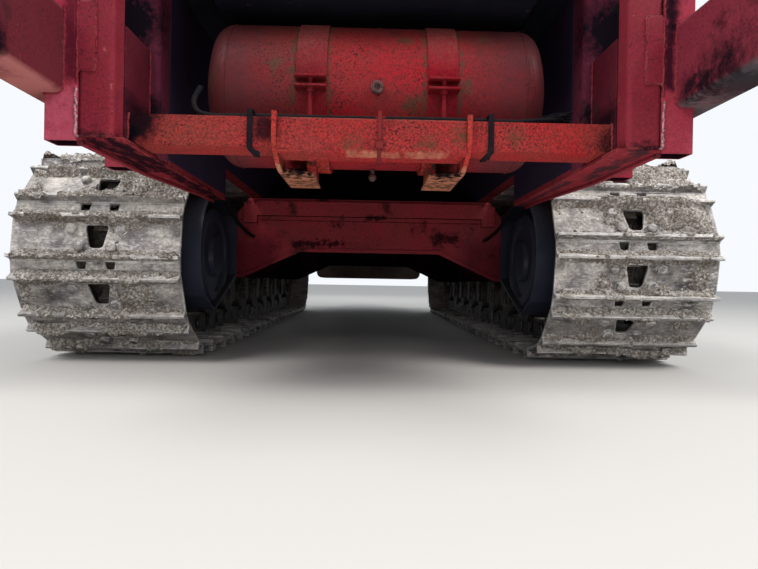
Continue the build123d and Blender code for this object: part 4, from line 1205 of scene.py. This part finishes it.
# %% Four bolts on each shoe
BOLTS = ((-0.057, -0.036), (0.057, -0.036), (-0.088, 0.028), (0.088, 0.028))
BOLT_RADIUS, BOLT_HIGH, BOLT_UP = 0.02, 0.018, 0.008

bolts = []
for x, y in BOLTS:
    deselect()
    place = (x, y, SHOE_FACE + BOLT_UP)
    bpy.ops.mesh.primitive_cylinder_add(vertices=6, radius=BOLT_RADIUS, depth=BOLT_HIGH, location=place)
    bolt = bpy.context.object
    bolt.rotation_euler.z = 0.4 + 9 * x
    settle(bolt)
    edit_faces(bolt, lambda f: f.normal.z > 0.9)
    bpy.ops.mesh.bevel(offset=0.004, segments=2)
    bpy.ops.mesh.inset(thickness=0.006, depth=-0.001)
    bolts.append(bolt)
shoe = join([shoe, *bolts])

# %% [markdown]
# ## Fifty-one shoes on a loop
#
# An Array modifier along a curve would lay the shoes out in one step, but all alike. Here each shoe is a
# copy that noise dents in a way of its own, and a matrix then lays it on its link. At the end the copies
# are joined to one piece, which takes the place of the CAD track.


# %% Fifty-one shoes on each track, no two dented alike
SHOE_DENT = 0.002


def dented(piece, place, depth, seed):
    """Moves a copy's points in and out a little, so that it differs from its neighbours."""
    for point in piece.data.vertices:
        shift = noise.noise(Vector((point.co.x * 7, point.co.y * 9, seed))) * depth
        point.co.z += shift - depth * 0.5
    piece.data.transform(place)


def laid_out(piece, side, depth):
    """A copy of the flat piece on every link of one track, joined to one piece."""
    made = []
    for number, place in enumerate(link_places(side)):
        twin = twin_of(piece)
        dented(twin, place, depth, seed=number + 40 * side)
        made.append(twin)
    return join(made)


for side, word in SIDES:
    shoes = laid_out(shoe, side, SHOE_DENT)
    finish_piece(shoes, "shoes_" + word, shoe_steel, smooth=40)
    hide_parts("track_" + word)
bpy.data.objects.remove(shoe)

# %% [markdown]
# ## The chain inside
#
# Behind the shoes run two rows of links, joined by pins in bushings. One link is a bar with a boss at
# each end, the boss at one end set inward so that it fits beside its neighbour's. It is modelled for one
# side of the chain, turned round for the other, and both are laid out on the loop with the bushing
# between them.


# %% Links, pins and bushings
LINK_INNER, LINK_OUTER = 0.076, 0.119
LINK_HALF, LINK_BELOW = 0.088, 0.044
LINK_TAPER = 0.86
LINK_CORNER = 0.003
PIN_AT = 0.091              # half a pitch from the link's middle
BOSS_RADIUS, BOSS_WIDE = 0.046, 0.026
BOSSES = ((0.106, -PIN_AT), (0.089, PIN_AT))  # across and along
BUSHING_RADIUS, BUSHING_WIDE = 0.029, 0.152
PIN_RADIUS, PIN_WIDE = 0.019, 0.25


def round_bar(radius, width, place, vertices=20):
    """A cylinder that lies across the track."""
    deselect()
    bpy.ops.mesh.primitive_cylinder_add(vertices=vertices, radius=radius, depth=width, location=place)
    bar = bpy.context.object
    bar.rotation_euler.y = pi / 2
    settle(bar)
    return bar


link_face = SHOE_FACE - SHOE_THICK
link = box_from((LINK_INNER, -LINK_HALF, -LINK_BELOW), (LINK_OUTER, LINK_HALF, link_face))
edit_faces(link, lambda f: f.normal.z > 0.9)
bpy.ops.transform.resize(value=(1, LINK_TAPER, 1), center_override=(0, 0, link_face))
link = join([link, *(round_bar(BOSS_RADIUS, BOSS_WIDE, (x, y, 0)) for x, y in BOSSES)])
apply_modifier(link, "BEVEL", width=LINK_CORNER, segments=1, limit_method="ANGLE", angle_limit=SHARP)
other_link = twin_of(link)
mirror(other_link)
bushing = round_bar(BUSHING_RADIUS, BUSHING_WIDE, (0, -PIN_AT, 0))
pin = round_bar(PIN_RADIUS, PIN_WIDE, (0, -PIN_AT, 0), vertices=16)
link = join([link, other_link, bushing, pin])
for side, word in SIDES:
    finish_piece(laid_out(link, side, 0.0), "chain_" + word, dark_steel, smooth=40)
bpy.data.objects.remove(link)

# %% [markdown]
# ## Mud
#
# Gravelly mud is packed against the bars, round the bolts and over whole shoes. A sheet lies just under
# each shoe's surface and rises where noise says that mud has stuck: a smooth swell in the corners beside
# the bars, large patches elsewhere, a broken crust over the bars, and small stones on top of all. Where
# it stays under the steel it isn't seen. A sculpted mesh would take as long for each of the 102 shoes as
# this takes for all. The two tables say where the real one has more mud than chance gives.

# %% How much mud lies on the shoes at the near end
MUD_LOAD = {
    # side and number of a shoe: how heavily the plate is caked, and how much crust lies on its bars
    (1, 44): (0.35, 0.4),
    (1, 45): (0.3, 0.4),
    (1, 46): (0.3, 0.4),
    (1, 47): (0.34, 0.45),
    (1, 48): (0.42, 0.4),
    (1, 49): (0.7, 0.55),
    (1, 50): (0.85, 0.6),
    (1, 0): (0.9, 0.6),
    (-1, 44): (0.35, 0.5),
    (-1, 45): (0.3, 0.6),
    (-1, 46): (0.32, 0.7),
    (-1, 47): (0.28, 0.8),
    (-1, 48): (0.42, 0.95),
    (-1, 49): (0.6, 0.9),
    (-1, 50): (0.75, 0.8),
    (-1, 0): (0.9, 0.7),
}
CLUMPS = {
    # side and number of a shoe: clumps as x, y, half width, half height, thickness
    (1, 48): (
        (0.16, 0.02, 0.12, 0.07, 0.03),
        (0.07, 0.055, 0.05, 0.03, 0.02),
        (-0.1, 0.06, 0.05, 0.03, 0.016),
    ),
    (1, 47): (
        (-0.08, 0.05, 0.05, 0.03, 0.016),
        (0.07, -0.045, 0.06, 0.03, 0.02),
        (0.24, 0.0, 0.04, 0.05, 0.012),
    ),
    (1, 46): ((0.05, 0.055, 0.07, 0.03, 0.018),),
    (-1, 48): ((0.12, 0.03, 0.1, 0.04, 0.016),),
    (-1, 47): ((0.1, 0.05, 0.08, 0.03, 0.018), (-0.12, 0.06, 0.04, 0.03, 0.014)),
    (-1, 46): ((0.12, 0.0, 0.09, 0.06, 0.02), (0.1, 0.06, 0.07, 0.03, 0.016)),
}
print("shoes with a mud load of their own:", len(MUD_LOAD))


# %% Height of the mud over a flat shoe
MUD_FLOOR = SHOE_FACE - 0.004       # where no mud has stuck, hidden in the plate
CRUST_RISE = 0.011          # of a full crust, above the tips of the bars
LIP_SLOPE = 0.42            # the sheet follows the lip down


def bump_at(y, middle, reach):
    """1 at middle, falling smoothly to 0 at reach from it."""
    share = abs(y - middle) / reach
    return 0.0 if share >= 1 else (1 - share * share) ** 2


def grain_at(x, y, seed):
    """Noise between about -1 and 1 at one place."""
    return noise.noise(Vector((x, y, seed)))


def pebble(x, y, size, seed):
    """About 0.5 in the middle of a round stone of this size and below 0 between the stones."""
    return 0.5 - noise.voronoi(Vector((x / size, y / size, seed)))[0][0]


def mud_height(x, y, seed, heavy, crust, clumps):
    """Height of the mud's surface over the shoe. heavy and crust run from 0, hardly any, to 1, caked."""
    patch = grain_at(x * 6, y * 9, seed) + 0.5 * grain_at(x * 17, y * 17, seed + 9)
    corner = bump_at(y, -BAR_AT, 0.034) + bump_at(y, BAR_AT, 0.034)
    level = patch - 0.42 + 0.75 * heavy
    swell = corner * (0.016 + 0.02 * max(-0.6, min(1.0, level + 0.35)))
    cake = max(0.0, min(1.0, level * 1.6)) * (0.012 + 0.016 * heavy)
    height = MUD_FLOOR + swell + cake
    for clump_x, clump_y, across, along, thick in clumps:
        away = ((x - clump_x) / across) ** 2 + ((y - clump_y) / along) ** 2
        height += thick * max(0.0, 1 - away * (1 + 0.6 * patch))
    ledge = bump_at(y, -BAR_AT, 0.03) + bump_at(y, BAR_AT, 0.03)
    broken = grain_at(x * 9, y * 30, seed + 4) + 0.6 * grain_at(x * 31, y * 30, seed)
    crusted = max(0.0, min(1.0, 0.4 + 1.5 * broken + 2.0 * (crust - 0.5)))
    height = max(height, MUD_FLOOR + ledge * crusted * (BAR_HEIGHT + CRUST_RISE))
    if height > SHOE_FACE - 0.003:
        ragged = grain_at(x * 95, y * 95, seed) + 0.8 * grain_at(x * 210, y * 210, seed)
        height += 0.006 * ragged + 0.006 * pebble(x, y, 0.013, seed)
    if y > SHOE_FRONT:
        height -= LIP_SLOPE * (y - SHOE_FRONT)
    edge = min(SHOE_HALF - abs(x), 0.02) / 0.02
    return height * edge + (SHOE_FACE - 0.008) * (1 - edge)


# %% A sheet of mud on a shoe
SHEET_ALONG = 0.186
SHEET_SHIFT = 0.006         # of its middle towards the lip
SHEET_INSET = 0.003         # from each end of the shoe
LOWEST_MUD = 0.002          # no mud is pressed through the ground
SEED_STEP, SEED_SIDE = 3.7, 50      # so that no two shoes have the same mud


def over_hole(face):
    """True for a face of the flat sheet that lies over the mud hole."""
    return abs(face.center.x) < 0.026 + 0.23 * (face.center.y + 0.041) and abs(face.center.y) < 0.043


def mud_sheets(side, numbers, step, name):
    """One sheet on each of the numbered shoes of a track, joined to one piece."""
    places = link_places(side)
    made = []
    across, along = round(2 * SHOE_HALF / step), round(0.19 / step)
    for number in numbers:
        deselect()
        bpy.ops.mesh.primitive_grid_add(x_subdivisions=across, y_subdivisions=along, size=1)
        sheet = bpy.context.object
        seed = number * SEED_STEP + SEED_SIDE * side
        chance = (0.3 + 0.25 * noise.noise(Vector((seed, 1, 2))), 0.3)
        heavy, crust = MUD_LOAD.get((side, number), chance)
        clumps = CLUMPS.get((side, number), ())
        for point in sheet.data.vertices:
            x = point.co.x * 2 * (SHOE_HALF - SHEET_INSET)
            y = point.co.y * SHEET_ALONG + SHEET_SHIFT
            point.co = (x, y, mud_height(x, y, seed, heavy, crust, clumps))
        edit_faces(sheet, over_hole)
        bpy.ops.mesh.delete(type="FACE")
        deselect()
        sheet.data.transform(places[number])
        for point in sheet.data.vertices:
            point.co.z = max(point.co.z, LOWEST_MUD)
        made.append(sheet)
    finish_piece(join(made), name, gravel, smooth=50)


# %% Shoes at the near wrap get fine sheets, and the others coarse ones
FINE_SHOES = [*range(TRACK_SHOES - 7, TRACK_SHOES), 0]
NEAR_SHOES = [TRACK_SHOES - 9, TRACK_SHOES - 8, 1, 2, 3]
FAR_SHOES = [number for number in range(TRACK_SHOES) if number not in FINE_SHOES + NEAR_SHOES]
SHEETS = (
    # which shoes, between two points of the sheet, name
    (FINE_SHOES, 0.0036, "mud_fine_"),
    (NEAR_SHOES, 0.006, "mud_near_"),
    (FAR_SHOES, 0.011, "mud_far_"),
)
for side, word in SIDES:
    for numbers, step, name in SHEETS:
        mud_sheets(side, numbers, step, name + word)

# %% [markdown]
# ## Mud inside the tracks
# Mud also packs solid on both sides of each sprocket, under the links, and hangs from the track frames
# between the rollers. It is never seen by itself, but without it light shines through where it shouldn't,
# so it is dark steel rather than gravel: it stands in for the shade inside the tracks as well as for mud.
# A ring and a long block, both roughened by noise, are enough.


# %% Mud packed beside each sprocket, under the links
RING_RADIUS, RING_THICK = 0.252, 0.036
RING_FROM_MIDDLE = 0.058    # of the track


def upright_ring(middle, radius, thick, around, across):
    """A ring whose hole looks across the machine. around and across count its faces."""
    deselect()
    bpy.ops.mesh.primitive_torus_add(
        major_segments=around, minor_segments=across, major_radius=radius, minor_radius=thick,
        location=middle, rotation=(0, pi / 2, 0),
    )
    ring = bpy.context.object
    settle(ring)
    return ring


RING_X = (TRACK_MIDDLE - RING_FROM_MIDDLE, TRACK_MIDDLE + RING_FROM_MIDDLE)
rings = []
for x in (*RING_X, *(-x for x in RING_X)):
    middle = Vector((x, -HALF_CENTRES, AXLE_HEIGHT))
    ring = upright_ring(middle, RING_RADIUS, RING_THICK, 110, 14)
    for point in ring.data.vertices:
        outward = point.co - middle
        swell = 1 + 0.05 * noise.noise(point.co * 14) + 0.035 * noise.noise(point.co * 55)
        point.co = middle + outward * swell
    rings.append(ring)
# Dark steel for the ring: it stands in for the shade inside the track as well as for mud.
finish_piece(join(rings), "mud_at_sprockets", dark_steel, smooth=50)

# %% Mud hanging under each track frame, between the rollers
FRAME_LOW, FRAME_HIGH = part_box("track_frame_right")
CAKE_HALF, CAKE_LOW, CAKE_TOP, CAKE_STEP = 0.05, 0.27, 0.43, 0.02
CAKE_FROM_NEAR, CAKE_FROM_FAR = 0.05, 0.25
CAKE_CUTS = 5
CAKE_SEED = 7

noise.seed_set(CAKE_SEED)   # vector noise is shifted by a seed, which is the clock's where none is set
cakes = []
for side in (1, -1):
    middle = side * (FRAME_LOW[0] + FRAME_HIGH[0]) / 2
    cake = box_from(
        (middle - CAKE_HALF, FRAME_LOW[1] + CAKE_FROM_NEAR, CAKE_LOW),
        (middle + CAKE_HALF, FRAME_HIGH[1] - CAKE_FROM_FAR, CAKE_TOP),
    )
    edit_faces(cake, lambda f: True)
    bpy.ops.mesh.subdivide(number_cuts=CAKE_CUTS)
    deselect()
    count = int((FRAME_HIGH[1] - FRAME_LOW[1]) / CAKE_STEP)
    for number in range(1, count):
        cut(cake, (0, FRAME_LOW[1] + number * CAKE_STEP, 0), (0, 1, 0))
    for point in cake.data.vertices:
        depth = (CAKE_TOP - point.co.z) / (CAKE_TOP - CAKE_LOW)
        push = noise.noise_vector(point.co * 11) * 0.03 + noise.noise_vector(point.co * 40) * 0.014
        point.co += push * max(0.0, depth)
    cakes.append(cake)
# Dark steel for the blocks: they stand in for the shade under the frames as well as for mud.
finish_piece(join(cakes), "mud_under_frames", dark_steel, smooth=50)

# %% [markdown]
# ## Weld beads
#
# The frame is welded plate and tube, and its beads catch the light. A bead could be a bump in the paint,
# but its outline shows against the shade behind it. So it is a round line along the joint, a curve with a
# bevel, swollen at every ripple where the welder paused. One bead on each side is pale and shiny, a
# painted highlight for the light that bead catches, and the others have the posts' paint.


# %% Weld beads
BEAD_STEP = 0.003           # between two points of a bead
RIPPLE_STEPS = 4            # points from one ripple to the next


def bead(points, radius, wander=0.0):
    """A rippled round line through the points, as a mesh. wander is how far it strays from them."""
    deselect()
    line = bpy.data.curves.new("bead", "CURVE")
    line.dimensions = "3D"
    line.bevel_depth = radius
    line.bevel_resolution = 2
    line.use_fill_caps = True
    run = line.splines.new("POLY")
    places = []
    for start, end in zip(points, points[1:]):
        start, end = Vector(start), Vector(end)
        steps = max(2, round((end - start).length / BEAD_STEP))
        places += [start.lerp(end, step / steps) for step in range(steps)]
    places.append(Vector(points[-1]))
    run.points.add(len(places) - 1)
    for number, place in enumerate(places):
        stray = wander * noise.noise(place * 120)
        run.points[number].co = (place.x + stray, place.y, place.z, 1)
        ripple = 0.5 + 0.5 * cos(number * tau / RIPPLE_STEPS)
        run.points[number].radius = 0.75 + 0.35 * ripple + 0.5 * noise.noise(place * 90)
    piece = bpy.data.objects.new("bead", line)
    bpy.context.collection.objects.link(piece)
    only(piece)
    bpy.ops.object.convert(target="MESH")
    return bpy.context.object


# %% Where the beads run, on the right side
FACE_Y = -2.9295            # just in front of the sockets
POST_Y = -2.9275            # just in front of the posts
BRIGHT_WELDS = (
    # radius, points
    (0.0032, ((0.684, FACE_Y, 0.648), (0.689, FACE_Y, 0.653), (0.6905, FACE_Y, 0.762))),
)
POST_BEAD = (
    (0.686, POST_Y, 0.8035),
    (0.648, POST_Y, 0.8035),
    (0.6465, POST_Y, 0.81),
    (0.6465, POST_Y, 0.958),
)
ARM_BEAD = (
    (0.719, FACE_Y, 0.95),
    (0.719, FACE_Y, 0.768),
    (0.7245, FACE_Y, 0.7525),
    (0.7375, FACE_Y, 0.7475),
)
WELDS = (
    # radius, points
    (0.0026, ((0.688, FACE_Y, 0.775), (0.688, FACE_Y, 1.075))),
    (0.0028, POST_BEAD),
    (0.0022, ((0.6465, POST_Y, 0.958), (0.649, POST_Y, 0.9645), (0.686, POST_Y, 0.9645))),
    (0.0036, ARM_BEAD),
    (0.0034, ((0.7375, FACE_Y, 0.7475), (0.7635, FACE_Y, 0.7475))),
    (0.003, ((0.607, -2.9265, 0.6505), (0.684, -2.9265, 0.6505))),
    (0.0022, ((0.6045, -2.7115, 0.655), (0.6045, -2.7115, 0.938))),
    (0.003, ((0.604, -2.8465, 0.656), (0.604, -2.8465, 0.7285))),
    (0.003, ((0.604, -2.8465, 0.7295), (0.604, -2.748, 0.7295))),
)
# This pale, glossy paint goes on one bead on each side: a painted highlight for the light those beads
# catch.
paint_weld = painted(
    "paint_weld",
    {
        "Paint": (0.2, 0.03, 0.05, 1),
        "Faded": (0.75, 0.42, 0.46, 1),
        "Mottle": 1.0,
        "Specks": 1.0,
        "Grime": 0.5,
        "Dustiness": 0.0,
    },
    coat=0.3,
    gloss=0.2,
)
for name, welds, finish in (("weld_beads", WELDS, paint_red), ("bright_beads", BRIGHT_WELDS, paint_weld)):
    beads = []
    for side in (1, -1):
        for radius, points in welds:
            beads.append(bead([(side * x, y, z) for x, y, z in points], radius, radius))
    finish_piece(join(beads), name, finish, smooth=60)

# %% [markdown]
# ## The tank's seams
#
# A weld runs round the tank where each head meets the shell. It is even, because a machine made it, so it
# is a thin ring that wanders only a little. The bead function would do as well, but a ring closes by
# itself.

# %% Seams where the tank's heads meet its shell
TANK_LOW, TANK_HIGH = (Vector(corner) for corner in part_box("air_tank"))
TANK_MIDDLE = (TANK_LOW + TANK_HIGH) / 2
SEAM_AT = 0.404             # from the tank's middle
SEAM_RADIUS, SEAM_THICK = 0.2025, 0.0028
SEAM_STRAY = 0.0012

rings = []
for x in (-SEAM_AT, SEAM_AT):
    ring = upright_ring(TANK_MIDDLE + Vector((x, 0, 0)), SEAM_RADIUS, SEAM_THICK, 120, 8)
    for point in ring.data.vertices:
        point.co.x += SEAM_STRAY * noise.noise(point.co * 90)
    rings.append(ring)
finish_piece(join(rings), "tank_seams", paint_tank, smooth=60)

# %% [markdown]
# ## Loose ends
#
# The two bands that hold the hose on the bar end in loose tails below it. A tail could be a curve with a
# flat profile, which twists as it likes. A thin block with cuts across it, laid along a few points, stays
# square to the view and keeps its thickness.


# %% Loose tails of the two bands
RIBBON_PARTS = 8
TAIL_WIDTH, TAIL_THICK = 0.012, 0.003


def ribbon(points, width, thick):
    """A flat strip of this width and thickness, laid along the points."""
    piece = box_from((-width / 2, 0, -thick / 2), (width / 2, 1, thick / 2))
    for number in range(1, RIBBON_PARTS):
        cut(piece, (0, number / RIBBON_PARTS, 0), (0, 1, 0))
    places = [Vector(point) for point in points]
    for point in piece.data.vertices:
        share = point.co.y * (len(places) - 1)
        step = min(int(share), len(places) - 2)
        along = (places[step + 1] - places[step]).normalized()
        side = along.cross(Vector((0, -1, 0))).normalized()
        out = side.cross(along)
        place = places[step].lerp(places[step + 1], share - step)
        point.co = place + side * point.co.x + out * point.co.z
    return piece


TAILS = (
    ((-0.304, -2.8505, 0.66), (-0.303, -2.852, 0.648), (-0.294, -2.853, 0.641), (-0.278, -2.85, 0.634)),
    ((0.298, -2.8505, 0.665), (0.296, -2.853, 0.652), (0.29, -2.855, 0.641), (0.287, -2.853, 0.632)),
)
tails = [ribbon(points, TAIL_WIDTH, TAIL_THICK) for points in TAILS]
finish_piece(join(tails), "band_tails", rubber, smooth=40)

# %% [markdown]
# ## Lips of the rails
#
# The wide flange under each post has a lip along its outer edge, which narrows towards the tracks with
# the flange. It starts as a block at the near end, and its far face is drawn out twice: aslant, then
# straight. The left one is the right one mirrored.

# %% Lips along the outer edges of the two rails
LIP_WIDE, LIP_HIGH = 0.013, 0.009
LIP_OUTER = 0.688
LIP_FROM, LIP_TO = -2.926, -2.55
LIP_RUNS = ((-0.05, 0.42, 0), (0, 0.15, 0))
LIP_EDGE = 0.002
RAIL_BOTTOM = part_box("main_beam_right")[0][2]

lips = []
for side in (1, -1):
    low = (LIP_OUTER - LIP_WIDE, LIP_FROM, RAIL_BOTTOM - LIP_HIGH)
    lip = box_from(low, (LIP_OUTER, LIP_TO, RAIL_BOTTOM))
    edit_faces(lip, lambda f: f.normal.y > 0.9)
    for run in LIP_RUNS:
        bpy.ops.mesh.extrude_region_move(TRANSFORM_OT_translate={"value": run})
    deselect()
    if side < 0:
        mirror(lip)
    apply_modifier(lip, "BEVEL", width=LIP_EDGE, segments=2, limit_method="ANGLE")
    lips.append(lip)
finish_piece(join(lips), "rail_lips", paint_red, smooth=40)

# %% [markdown]
# ## The frayed hose
#
# The hose's right end is cut, and its braid has come apart. A particle system could grow the strands, but
# a few short beads that start in the hose and spread out are enough, and each is bent once.

# %% The hose's right end is frayed
HOSE_END = Vector((0.512, -2.786, 0.7545))
STRANDS = 26
STRAND_RADIUS = 0.0026
LIFT = 0.004                # the strands bend up a little

strands = []
random.seed(7)
for number in range(STRANDS):
    turn = random.random() * tau
    start = HOSE_END + Vector((-0.075 + 0.03 * random.random(), 0.006 * cos(turn), 0.006 * sin(turn)))
    middle = start + Vector((0.04, 0.006 * cos(turn), LIFT + 0.006 * sin(turn)))
    spread = 0.007 + 0.012 * random.random()
    reach = 0.012 - 0.03 * random.random()
    end = HOSE_END + Vector((reach, spread * cos(turn), LIFT + spread * sin(turn)))
    strands.append(bead([start, middle, end], STRAND_RADIUS))
finish_piece(join(strands), "frayed_hose_end", rubber, smooth=60)
